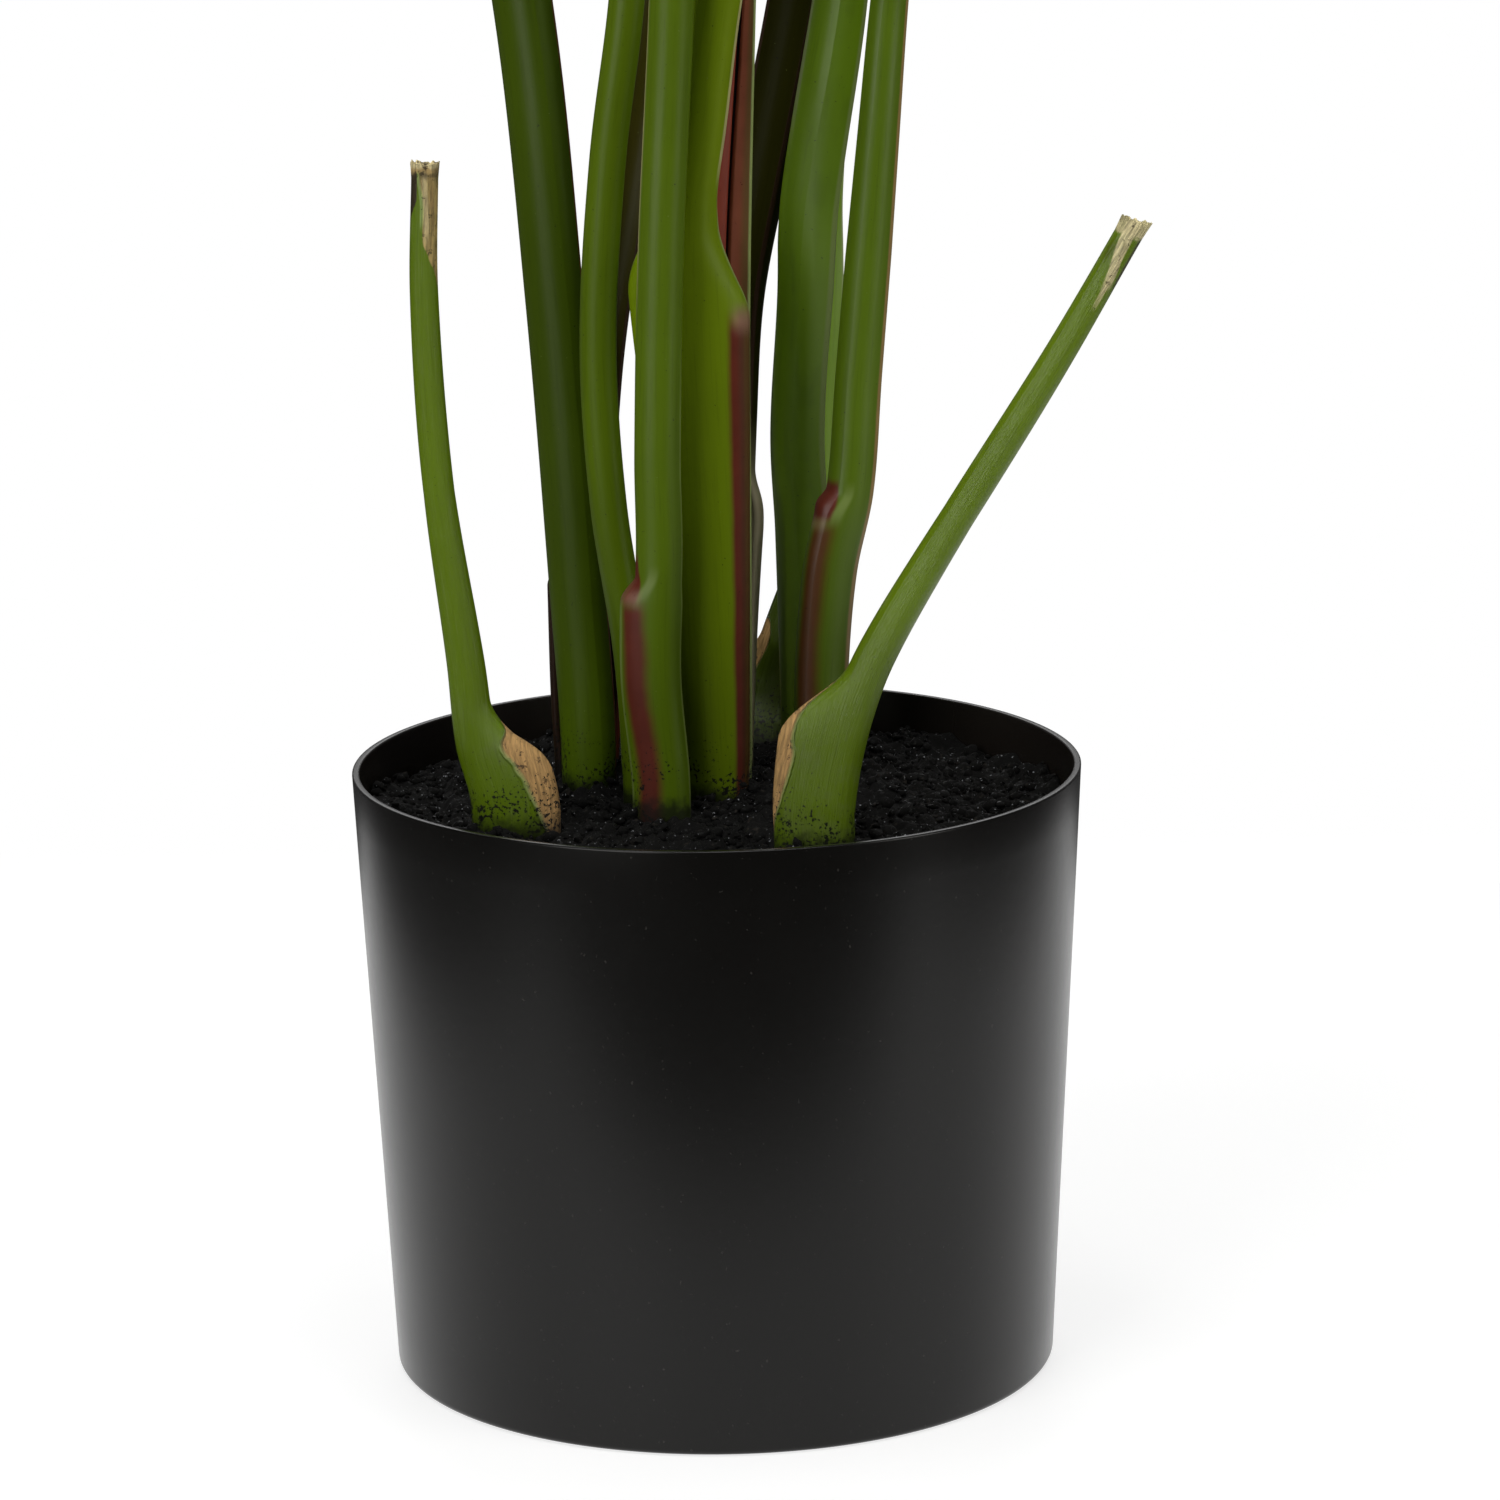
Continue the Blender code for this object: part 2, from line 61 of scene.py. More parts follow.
# Pot. Between two levels its wall is a little out of round, by a share of its radius. Each wave of that has
# its strength, how many of it go round the pot, and its shift.
POT_WALL = 2.1
POT_FLOOR = 3.0
POT_HUB = 8.0
FOOT_ROUNDING = 2.0
FOOT_STEPS = 5
RIM_ROUNDING = 0.55
RIM_STEPS = 4
BASE_RECESS = 0.8
BASE_RING = 6.0
POT_SIDES = 192
POT_WALL_RINGS = 14
INSIDE_LEVELS = (140, 90, 40)
POT_WARP = 0.0025
POT_WARP_WAVES = ((1, 2, 0.6), (0.6, 3, 2), (0.3, 7, 0))
POT_WARP_LEVELS = (10, 150)

# Painted light inside the pot's rim: the inner wall above the soil is painted lighter and browner, as light
# falling in from above. The radii and the levels between which it fades in.
INNER_RIM_LIGHT_RADII = (100.4, 99.7)
FILM_LEVELS = (152, 158)

# Soil: a low mound with lumps, with clods of three sizes on it, and banked up against the stems.
SOIL_GAP = 0.35
SOIL_SHOULDER = 6.0
SOIL_MOUND = 0.7
SOIL_MOUND_RADIUS = 101.6
SOIL_LUMP = 0.8
SOIL_LUMP_LENGTHS = (9.0, 13.0, 21.0)
SOIL_SIDES = 384
SOIL_RINGS = 112
CLOD_LENGTHS = (13.0, 5.5, 2.3)
CLOD_SHARES = (1.0, 0.7, 0.32)
CLOD_CRAG = 2.6
CLOD_SINK = 0.7
BANK_HEIGHT = 1.1
BANK_REACH = 7.0

# Crumbs: they lie in clumps. Their rise above the soil, widths, heights and roughness are shares of their
# size, and their spins and tilts are in radians.
CRUMB_SEED = 11
CRUMB_BATCH = 100
CRUMB_CLUMP = 6
CRUMB_SPREAD = 2.6
CRUMB_LEAST = 0.25
CRUMB_RARITY = 4
CRUMB_RISE = 0.25
CRUMB_WIDTHS = (0.7, 1.3)
CRUMB_HEIGHTS = (0.5, 0.9)
CRUMB_SPINS = (0, 6.3)
CRUMB_TILTS = (-1, 1)
CRUMB_ROUGHNESS = 0.22

# Stalks: each goes down into the soil, and is straight and plain up to its collar.
ROOT_LEVEL = 90.0
COLLAR_LEVEL = 166.0
GIRTH_LEVELS = (310.0, 385.0)
ROUND_ARC = math.radians(118)
MARGIN_INSET = 0.92
MARGIN_LIP = 0.02
CHANNEL = 0.3
SHEATH_CHANNEL = 0.8
CHANNEL_FADE = 6.0
DIRECTION_STEP = 0.5

# The bead along a margin, and the sheath's rolled edge where it widens the stalk by ROLL_LEAST or more.
BEAD = 0.3
BEAD_SHARES = (0.9, 0.95)
SHEATH_ROLL = 1.0
ROLL_LEAST = 2.0
ROLL_SHARES = (0.3, 0.9)

# The newest leaf's slit, which leans to one side and then stands upright again.
SLIT_DEPTH = 2.2
SLIT_HALF_WIDTH = 0.07
SLIT_LEAN = -0.62
SLIT_LEAN_LEVELS = (300, 400)
SLIT_UPRIGHT_LEVELS = (400, 710)

# A stub's cut end
CUT_RAGGED = 1.0
CUT_RAGGED_COUNT = 1.3
CUT_INSET = 0.35
CUT_SUNKEN = 0.5
CUT_FLARE = 0.09
CUT_FLARE_REACH = 4.0
CUT_TILT_REACH = 10.0

# Places across a section, as shares of the way from the middle to a margin.
HALF_SECTION = (0.0, 0.05, 0.12, 0.19, 0.25, 0.32, 0.41, 0.5, 0.6, 0.7, 0.8, 0.88, 0.94, 0.975, 1.0)
SECTION = tuple(-share for share in HALF_SECTION[:0:-1]) + HALF_SECTION

# Distances between rings along a stem, which are closer up to LOW_STEP_LEVEL and round the sheath's edge.
LOW_STEP = 2.2
LOW_STEP_LEVEL = 405.0
SHEATH_STEP = 0.9
SHEATH_STEP_MARGIN = 2.0
HIGH_STEP = 7.0
BLADE_STEP = 2.4
LEAST_STEP = 0.25
TEAR_STEPS = (-1.0, -0.8, -0.55, -0.3, -0.12, 0.0, 0.12, 0.3, 0.55, 0.8, 1.0)

# Blade
BLADE_SHOULDER = 0.24
BLADE_SHOULDER_POWER = 2.4
BLADE_TAPER_START = 0.42
BLADE_TAPER_POWER = 2.6
BLADE_THICKNESS = 1.3
MARGIN_THICKNESS = 0.7
TIP_HALF_WIDTH = 2.5
RIB_SHARE = 0.25
RIB_EDGE_HALF_WIDTH = 4.5
RIB_TIP_HALF_WIDTH = 1.2
RIB_TIP_DEPTH = 0.6
RIB_TAPER_POWER = 0.7
RIB_HOLLOW = 0.4
VEIN_SLANT = math.radians(17)
FOLD = 0.3
DROOP = 12.0
WAVE = 5.0
WAVE_COUNT = 4.0
WAVE_ONSET = 0.15
WAVE_POWER = 1.5
RIPPLE = 2.2
RIPPLE_COUNT = 9
RIPPLE_SIDES_APART = 3
PLEAT = 0.3
PLEAT_LENGTH = 9.0
PLEAT_ONSET = (0.05, 0.3)
TEAR_HALF_GAP = 0.012
TEAR_POWER = 0.85
TEAR_LIFT = 2.5
TEAR_LIFT_ONSET = 0.15
TEAR_REACH = 0.035
STALK_TO_BLADE = 0.05

# Noise: scale, detail and roughness. Patches also have the two values between which they fade in, and how
# strong they are.
HAZE = (22, 4, 0.6)
GRAIN = (340, 3, 0.6)
DUST = (900, 2, 0.5, 0.7, 0.78, 0.35)
CLUMPS = (120, 5, 0.65)
GRIT = (620, 4, 0.7)
SOIL_FIBRES = (420, 2, 0.5, 0.64, 0.72, 0.5)
# Grit and painted glints in the soil.
GRIT_AND_GLINTS = (1100, 1, 0.5, 0.71, 0.77, 1)
CLOUDS = (28, 3, 0.5, 0.35, 0.7, 0.3)
STALK_DUST = (1500, 1, 0.5, 0.78, 0.82, 0.5)
STREAKS = (160, 3, 0.5)
WANDER = (60, 3, 0.5)
SHEEN = (60, 2, 0.5)
PORES = (700, 2, 0.5)
BLADE_CLOUDS = (14, 3, 0.5, 0.3, 0.75, 0.6)
DIRT_SPECKS = (1000, 3, 0.6)
DIRT_PATCHES = (75, 3, 0.5, 0.3, 0.56, 0.2)
DIRT_EDGE = (150, 4, 0.7)
WAX = (70, 4, 0.7, 0.48, 0.7, 0.35)
FLECKS = (420, 4, 0.7, 0.58, 0.64, 0.8)
RAGGED = (420, 3, 0.7)
SCAR_WANDER = (140, 3, 0.5)
FLOOR_GRAIN = (3, 2, 0.5)

# Streaks along a stem: how many to a millimetre across and along it, detail and roughness. Lines also have
# the two values between which they fade in, and how strong they are.
STALK_LINES = (1.4, 0.035, 3, 0.6, 0.5, 0.72, 0.3)
STALK_RIDGES = (2.2, 0.05, 3, 0.6)
# A stub's pale streaks are partly its fibres and partly painted highlight, standing for gloss streaks along
# it.
STUB_STREAKS_AND_SHEEN = (2.4, 0.06, 3, 0.6, 0.55, 0.75, 0.3)
DRY_LINES = (1.6, 0.12, 4, 0.7, 0.3, 0.7, 1)
DRY_RIDGES = (2.6, 0.07, 4, 0.7)
VEIN_LINES = (0.012, 0.85, 4, 0.7, 0.5, 0.7, 0.35)
VEIN_RIDGES = (0.015, 1.1, 4, 0.7)

# Relief: its height in millimetres and its strength.
POT_RELIEF = (0.05, 0.25)
CLUMP_RELIEF = (1.2, 0.8)
GRIT_RELIEF = (0.5, 0.9)
STALK_RELIEF = (0.12, 0.35)
VEIN_RELIEF = (0.35, 0.5)
SCAR_RELIEF = (0.6, 1.0)
DRY_RELIEF = (0.5, 0.6)

# Tones: the darkest and the brightest that a varied colour gets, as shares of it.
POT_TONES = (0.82, 1.2)
# The soil's tones also paint shade: the colour is darkest where its clump relief is lowest.
SOIL_CLOD_AND_TROUGH_SHADE_TONES = (0.3, 1.6)
GREEN_TONES = (1.0, 1.35)
# The newest leaf's red inner face is raised above the sheaths' maroon and dull red: painted light on a face
# in shade.
BRIGHT_FACE_PAINTED_LIGHT_TONES = (1.7, 2.5)
DULL_FACE_PAINTED_LIGHT_TONES = (1.2, 1.8)
SCAR_TONES = (0.7, 1.7)
FLOOR_TONES = (0.98, 1.0)

# Colour on the stems, by level: the foot, darker as painted shade near the soil or lighter as painted light,
# the crumbs of soil stuck to it, a near-black band just above the soil, and a stub's wax.
FOOT_SHADE_LEVELS = (162, 250)
DIRT_LEVELS = (188, 163)
DIRT_SPECK_FADE = (0.69, 0.76)
# A near-black band just above the soil line: how strong it is, the levels where it fades and how far its top
# wanders.
SOIL_LINE_BAND = 0.85
SOIL_LINE_BAND_LEVELS = (173, 167)
SOIL_LINE_BAND_WANDER = 12.0
WAX_LEVELS = (205, 180)

# Colour on the stems, by share of the way across: a stalk's margin, a blade's dry edge and midrib, and the
# newest leaf's slit (painted shade), bright half and olive margin.
MARGIN_SHARES = (0.925, 0.965)
DRY_EDGE_SHARES = (0.975, 0.995)
RIB_SHARES = (0.27, 0.2)
SLIT_SHADE_SHARES = (0.1, 0.05)
BRIGHT_FACE_SHARES = (-0.1, 0.1)
OLIVE_SHARES = (-0.45, -0.9)

# A mark's outline wanders, by a share of its softness but only so far, and blurs inwards by a share of it.
MARK_WANDER = 0.8
MARK_WANDER_MOST = 0.12
MARK_BLUR = 0.4

# A scar's outline: how far it wanders, and where its edge and its border fade out.
SCAR_REACH = 0.1
SCAR_EDGE = (-0.02, 0.02)
SCAR_BORDER = (0.035, 0.01)

# The surround's light: where it turns brighter towards the back, and where it isn't mirrored lower down.
BEHIND_FADE = (-0.1, 0.9)
BELOW_FADE = (0.05, -0.1)

# Floor, in metres: where it fades out to the right, left, back and front, and how far it lies below the pot.
FLOOR_HALF_SIZE = 4
FLOOR_REACHES = (0.5, 0.42, 0.5, 0.31)
FLOOR_FADE = 0.1
FLOOR_DROP = 0.0002

# Camera, in metres
CAMERA_PLACE = Vector((0, -1.70076, 0.57864))
CAMERA_TARGET = Vector((0.00941, 0, 0.1748))
CAMERA_ROLL = -0.015
CAMERA_SENSOR = 36
CAMERA_LENS = 150.1

# Lights: bearing in degrees to the right of the camera's, seen from above, then distance, level and size in
# metres, and colour. The stage's settings hold the power of each under its name.
LIGHT_TARGET = Vector((0, 0, 0.25))
LIGHTS = {
    "key": (-36, 2.2, 0.95, (1.3, 2.0), (1, 0.99, 0.97)),
    "fill": (62, 2.4, 0.95, (0.9, 2.0), (1, 0.98, 0.94)),
    "back": (180, 2.6, 1.7, (1.8, 1.6), (1, 1, 1)),
    "top": (0, 0.3, 3.0, (2.0, 2.0), (1, 1, 1)),
}


class Stem(NamedTuple):
    """A leaf, or a cut stub where blade is empty. Points are on its axis, in millimetres."""

    name: str
    stalk: tuple
    blade: tuple
    # Compass degrees of the round side at the soil and at the far end.
    facing: tuple
    # Half the width across, and the depth of the round side, at the collar, GIRTH_LEVELS and the blade.
    # A stub has them at its collar, half way up and at its cut end.
    half_width: tuple
    depth: tuple
    # Levels where the sheath's upper edge starts and ends, how far it widens either side, and the share of
    # that at the collar.
    sheath: tuple
    blade_half_width: float = 0.0
    # Tears as (share of the blade's length, side, share of the width that is left).
    tears: tuple = ()
    wave_shift: float = 0.0
    # How much lower the sheath's upper edge lies on the + side.
    sheath_drop: float = 0.0
    # Levels between which the stalk twists further, and by how many degrees.
    twist: tuple = ()
    # Whether a slit runs down its channelled side.
    slit: bool = False


LEAVES = (
    Stem(
        "leaf_left",
        ((-36, 21), (-38.2, 23, 215), (-43, 26, 298), (-50, 29, 381), (-76, 34, 560),
         (-124, 40, 760)),
        ((-212, 48, 925), (-330, 56, 1010), (-420, 60, 1005), (-488, 63, 950)), (225, 200),
        (8.4, 9.1, 9.5, 5.4), (7.2, 7.7, 8.0, 4.6), (), 78,
        ((0.36, -1, 0.42), (0.62, 1, 0.5), (0.78, -1, 0.55)), 0.4,
    ),
    Stem(
        "leaf_back_left",
        ((-37, 39), (-35.4, 39, 205), (-30.4, 39, 275), (-22.8, 38, 325), (-13.2, 38, 380),
         (10, 50, 560), (22, 120, 840)),
        ((24, 205, 985), (20, 310, 1080), (12, 400, 1095), (5, 462, 1050)), (90, 95),
        (5.6, 5.7, 5.8, 4.8), (4.6, 4.9, 5.0, 4.0), (214, 224, 6.6, 6.8, 0.55), 76,
        ((0.3, 1, 0.45), (0.56, -1, 0.5)), 1.1,
    ),
    Stem(
        "leaf_inner_left",
        ((-21.4, 5), (-23, 3.5, 202), (-28.6, 1, 245), (-30.6, 0, 290), (-27, -2, 341),
         (-21, -4, 385), (-15.5, -3, 450), (-22, 2, 620), (-66, 12, 900)),
        ((-112, 26, 1070), (-172, 44, 1240), (-228, 64, 1355), (-272, 84, 1405)), (300, 180),
        (5.0, 5.0, 4.9, 4.8), (4.7, 4.7, 4.6, 4.2), (), 74, ((0.42, 1, 0.4), (0.7, -1, 0.5)), 2.3,
    ),
    Stem(
        "leaf_front",
        ((-14.2, -13.5), (-16.2, -15, 200), (-14.8, -16, 236), (-14.8, -17, 262),
         (-12.9, -18, 318), (-8.8, -20, 386), (-5, -29, 470), (-12, -66, 650), (-38, -122, 800)),
        ((-74, -208, 925), (-118, -300, 985), (-152, -370, 970), (-178, -422, 905)), (270, 246),
        (6.6, 6.3, 6.1, 5.0), (5.6, 5.7, 5.8, 4.2), (219, 228, 3.9, 0.4, 0.7), 72,
        ((0.34, -1, 0.5), (0.6, 1, 0.4)), 0.9,
    ),
    Stem(
        "leaf_centre",
        ((0.4, 3), (-0.6, 2, 200), (-3, 0, 262), (-4.6, -1, 304), (-4.2, -1.6, 330),
         (-1.2, -2.6, 351), (3.4, -4, 384), (15, -9, 450), (34, -24, 590), (76, -76, 830)),
        ((118, -152, 985), (170, -238, 1085), (216, -306, 1110), (250, -356, 1075)), (270, 304),
        (6.8, 6.8, 6.8, 4.9), (5.5, 5.8, 6.0, 4.2), (305, 333, 10.8, 9.4, 0.18), 77,
        ((0.4, 1, 0.45), (0.58, -1, 0.4), (0.76, 1, 0.55)), 1.7, sheath_drop=9.5,
    ),
    Stem(
        "leaf_newest",
        ((4.2, 12.5), (4.4, 11.5, 230), (4.6, 10.5, 300), (7, 9.5, 384), (12, 12, 520),
         (16, 20, 760), (16, 30, 980)),
        ((12, 48, 1150), (4, 76, 1340), (-4, 108, 1490), (-8, 136, 1572)), (120, 100),
        (6.0, 7.0, 7.3, 5.0), (4.4, 5.1, 5.4, 4.2), (), 70, ((0.52, -1, 0.5),), 0.2, slit=True,
    ),
    Stem(
        "leaf_back_right",
        ((4.3, 34), (4.5, 37, 210), (6.3, 42, 262), (8.5, 47, 295), (14.6, 52, 326), (26, 57, 378),
         (44, 64, 470), (78, 74, 640), (138, 96, 850)),
        ((218, 130, 980), (318, 168, 1052), (400, 197, 1048), (460, 216, 995)), (70, 24),
        (6.0, 7.4, 8.2, 5.2), (5.2, 6.4, 7.0, 4.4), (231, 248, 3.2, 0.8, 0.1), 76,
        ((0.38, 1, 0.5), (0.66, -1, 0.4)), 2.9,
    ),
    Stem(
        "leaf_inner_right",
        ((29.6, 45), (28.9, 45, 227), (28, 45, 256), (30.7, 44.5, 295), (32, 44, 324),
         (39.6, 43, 378), (51, 41, 460), (69, 43, 640), (100, 60, 930)),
        ((134, 92, 1095), (176, 136, 1255), (218, 182, 1372), (250, 218, 1425)), (172, 23),
        (6.8, 7.8, 8.0, 5.0), (11.0, 11.8, 9.4, 4.4), (), 75,
        ((0.33, -1, 0.45), (0.6, 1, 0.5), (0.74, -1, 0.6)), 0.6, twist=(270, 390, 45),
    ),
    Stem(
        "leaf_right",
        ((30.6, 27), (31.2, 27.5, 192), (34, 28, 220), (39, 28.5, 243), (41.8, 29, 276),
         (48.1, 29, 345), (51.3, 29, 380), (63, 22, 490), (84, 4, 630), (122, -28, 790)),
        ((204, -66, 915), (314, -110, 975), (398, -142, 955), (458, -164, 890)), (300, 340),
        (7.2, 6.7, 5.5, 4.8), (5.5, 5.6, 4.8, 4.2), (235, 244, 2.8, 0.0, 0.55), 77,
        ((0.44, -1, 0.4), (0.68, 1, 0.5)), 2.0,
    ),
)

STUBS = (
    Stem(
        "stub_left",
        ((-61.5, -31), (-66, -31, 186), (-68.2, -31.5, 208), (-74.5, -32.3, 259),
         (-76.8, -33, 310), (-75.6, -33.4, 346)),
        (), (262, 262), (6.0, 4.15, 3.55), (5.7, 4.0, 3.4), (173, 198, 0.0, 12.6, 1.0),
    ),
    Stem(
        "stub_right",
        ((30.9, -54), (32.6, -54, 180), (37, -53.8, 197), (43.5, -53.4, 213), (58, -52.8, 238),
         (92, -51.7, 292), (114.2, -51, 330)),
        (), (278, 278), (6.4, 4.45, 3.7), (6.0, 4.2, 3.5), (188, 210, 12.2, 0.0, 0.77),
    ),
    Stem(
        "stub_back",
        ((13.5, 72), (17.5, 73, 185), (27.5, 75, 212), (32, 76, 223)),
        (), (80, 80), (6.4, 5.9, 5.4), (5.8, 5.3, 4.8), (178, 192, 3.0, 5.0, 1.0),
    ),
)


class Mark(NamedTuple):
    """A soft stripe along a stem, between two shares across and two levels."""

    colour: str
    left: float
    right: float
    soft: float
    low: float
    high: float
    strength: float = 1.0
    fade: float = 3.0
    # Levels between which it moves across, and how far.
    drift: tuple = ()


class Look(NamedTuple):
    """How one stem's colour differs from the others', and its marks."""

    # How bright its green is, partly painted light and shade: darker on stems that stand in shadow behind
    # others, brighter on one that the lights barely reach. Then how far it turns to the young leaves' green
    # and to brown.
    tone: float
    yellow: float = 0.15
    brown: float = 0.0
    marks: tuple = ()
    # How bright the foot is, as a share of the colour above: below 1 it is painted shade near the soil, above
    # 1 painted light. Then the colour of the margins and the gloss.
    foot: float = 0.62
    edge: str = "margin"
    gloss: float = 0.5


class Scar(NamedTuple):
    """Where a stub's sheath came away: its side, the level and share of its widest reach, and its curves."""

    side: int
    level: float
    share: float
    below: float
    above: float


LOOKS = {
    # Painted shade and light: its green is darkened for the shade beside it, and its foot (1.7) painted
    # lighter.
    "leaf_left": Look(0.43, 0.1, foot=1.7, edge="dull_red", gloss=0.2),
    # Painted shade: it stands in shadow at the back, so its green, its edges and the stripe on its + margin
    # are near-black.
    "leaf_back_left": Look(0.22, 0.1, 0.6, edge="bruise", gloss=0.12, marks=(
        Mark("maroon", -1.1, -0.72, 0.12, 90, 224, 0.8),
        Mark("stalk", 0.25, 0.86, 0.1, 90, 226, 0.4),
        Mark("bruise", 0.6, 1.1, 0.05, 90, 244, 0.9),
    )),
    "leaf_inner_left": Look(0.68, 0.2, foot=0.85, gloss=0.2),
    "leaf_front": Look(0.73, 0.12, foot=0.78, gloss=0.28, marks=(
        Mark("maroon", -0.38, -0.1, 0.14, 90, 221, drift=(170, 222, -0.12)),
        Mark("maroon", -1.1, -0.34, 0.05, 221, 234, 1.0, 2, (223, 233, -0.2)),
        # Painted highlight: the pale pink patch and the pale stripe after it are light on the crest of the
        # rolled lip.
        Mark("blush", -0.54, -0.3, 0.09, 221, 224.5, 0.4, 2),
        Mark("margin", -0.34, -0.18, 0.08, 224, 230, 0.4, 3, (222, 231, 0.16)),
        Mark("margin", -1.0, -0.6, 0.04, 90, 222, 0.35, 8),
        Mark("cream", -1.0, -0.6, 0.03, 310, 700, 0.5, 20),
        Mark("margin", 0.62, 0.95, 0.04, 90, 285, 0.4, 20),
    )),
    "leaf_centre": Look(0.93, 0.5, foot=0.54, gloss=0.15, marks=(
        # Painted light: a strip of the young yellow-green on the sheath's upper part, where the key light
        # falls past the front leaf.
        Mark("young", 0.2, 0.6, 0.2, 322, 900, 0.25, 16),
        Mark("maroon", 0.33, 0.5, 0.07, 90, 297, 1.0, 4),
        Mark("husk", 0.46, 1.1, 0.07, 90, 299, 0.9, 4),
        # Painted highlight: pale pink on the crest of the sheath's lip.
        Mark("blush", 0.4, 0.9, 0.1, 294, 300, 0.5, 3),
        Mark("cream", 0.5, 0.95, 0.03, 338, 420, 0.6, 6),
        Mark("margin", 0.68, 0.97, 0.03, 303, 338, 0.9, 6),
    )),
    "leaf_newest": Look(0.9, 0.4, foot=0.5, gloss=0.25),
    # Partly painted shade: its own dark brown-olive is darkened further, with near-black edges, as it stands
    # in shadow.
    "leaf_back_right": Look(0.13, 0.25, 0.5, marks=(
        Mark("bark", -1.1, 1.1, 0.1, 90, 247, 0.9, 18),
    ), foot=1.0, edge="bruise", gloss=0.04),
    # Painted light: its green is raised well above the others' because the stems in front shade it.
    "leaf_inner_right": Look(1.7, 0.0, foot=0.66, gloss=0.6, marks=(
        Mark("margin", -0.2, 0.28, 0.02, 345, 470, 1.0, 12, (300, 385, -0.19)),
    )),
    "leaf_right": Look(0.82, 0.05, foot=0.5, edge="stalk", gloss=0.38, marks=(
        Mark("maroon", -0.7, -0.36, 0.18, 90, 234, 0.85, 3),
        Mark("maroon", -1.1, -0.42, 0.06, 235.5, 246, 1.0, 1.5, (238, 246, -0.12)),
        # Painted highlight: the pale pink patch and the pale stripe after it are light on the crest of the
        # rolled lip.
        Mark("blush", -0.95, -0.5, 0.1, 233, 236, 0.4, 1.5),
        Mark("margin", -0.4, -0.26, 0.07, 235, 244, 0.4, 3, (236, 245, 0.08)),
        Mark("scar", 0.27, 0.8, 0.05, 170, 500, 0.8, 14, (250, 385, -0.07)),
    )),
    "stub_left": Look(0.9, 0.2, foot=0.85, gloss=0.35),
    "stub_right": Look(0.92, 0.25, foot=0.75, gloss=0.4),
    "stub_back": Look(0.6, 0.2),
}

SCARS = {
    "stub_left": Scar(1, 184, 0.29, 0.00033, 0.011),
    "stub_right": Scar(-1, 187, 0.44, 0.0007, 0.0012),
    "stub_back": Scar(1, 186, 0.5, 0.0005, 0.004),
}

# How far a stub's cut end tilts, as a rise for each unit across.
CUT_TILTS = {"stub_left": 0.0, "stub_right": 0.3, "stub_back": 0.15}

# The dry marks below a stub's cut end. Their levels are distances below it.
CUT_MARKS = {
    "stub_left": (
        Mark("straw", -0.13, 1.2, 0.04, -9, 12, 0.9, 1.5, (3, 12, 0.19)),
        Mark("straw", 0.06, 1.2, 0.04, 10, 33, 0.9, 1.5, (19, 36, 0.75)),
        Mark("cream", 0.0, 0.16, 0.06, 2, 20, 0.5, 4, (3, 18, 0.12)),
        Mark("husk", 0.3, 0.42, 0.05, 5, 18, 0.4, 4, (3, 18, 0.1)),
        Mark("margin", -0.2, -0.09, 0.04, 2, 17, 0.6, 2, (3, 12, 0.16)),
        Mark("bruise", -1.2, -0.21, 0.04, -9, 18.5, 0.95, 1.5, (9, 19, -0.5)),
        Mark("straw", -1.2, 1.2, 0.05, -9, 2.6, 0.95, 0.8),
        Mark("bruise", 0.0, 1.2, 0.1, 2.6, 3.8, 0.6, 0.6),
        # Partly painted highlight: the pale cream rim of the cut end is dry fibre, made paler as light
        # catching its edge.
        Mark("cream", -1.2, 1.2, 0.05, -9, 1.2, 0.75, 0.5),
    ),
    "stub_right": (
        Mark("cream", -0.36, -0.04, 0.05, -9, 19, 0.85, 3, (4, 20, 0.32)),
        Mark("cream", -0.06, 0.08, 0.05, -9, 24, 0.85, 4, (4, 20, 0.08)),
        Mark("bruise", -0.62, -0.3, 0.1, 7, 13, 0.35, 2),
        Mark("bruise", 0.38, 1.2, 0.05, 3, 19, 0.8, 3),
        Mark("cream", -1.2, 1.2, 0.05, -9, 4.4, 0.85, 0.8),
    ),
    "stub_back": (
        Mark("bruise", 0.2, 1.2, 0.1, -9, 9, 0.6, 3),
        Mark("scar", -1.2, 1.2, 0.05, -9, 3.4, 0.95, 0.8),
    ),
}


def mixed(start, end, share):
    return start + (end - start) * share


def smooth_step(low, high, value):
    """0 up to low, 1 from high on, and an even S between them."""
    share = min(1.0, max(0.0, (value - low) / (high - low)))
    return share * share * (3 - 2 * share)


def blended(low, high, share):
    """A colour between two."""
    return tuple(mixed(a, b, share) for a, b in zip(low, high))


def toned(colour, tone):
    return tuple(min(1.0, part * tone) for part in colour)


def tint(name, description, default):
    return FloatVectorProperty(
        name=name, description=description, default=default, subtype="COLOR", size=3, min=0, max=1
    )


def amount(name, description, default, **limits):
    return FloatProperty(name=name, description=description, default=default, min=0, **limits)


def portion(name, description, default):
    return amount(name, description, default, max=1, subtype="FACTOR")


class PotSettings(bpy.types.PropertyGroup):
    top_radius: amount("Top radius", "Radius of the pot's top in millimetres", 101.6)
    foot_radius: amount("Foot radius", "Radius of the pot's foot in millimetres", 93.3)
    height: amount("Height", "Height of the pot in millimetres", 171.4)
    colour: tint("Plastic", "Colour of the pot's plastic", (0.0036, 0.0033, 0.0028))
    dust: tint("Dust", "Colour of the dust on the pot", (0.07, 0.066, 0.06))
    # Painted light: the lighter colour of the inner wall above the soil.
    film: tint("Film", "Colour of the dusty film inside the rim", (0.011, 0.009, 0.0075))
    roughness: portion("Roughness", "Roughness of the pot's plastic", 0.24)
    gloss: portion("Gloss", "Gloss of the pot's plastic", 0.26)


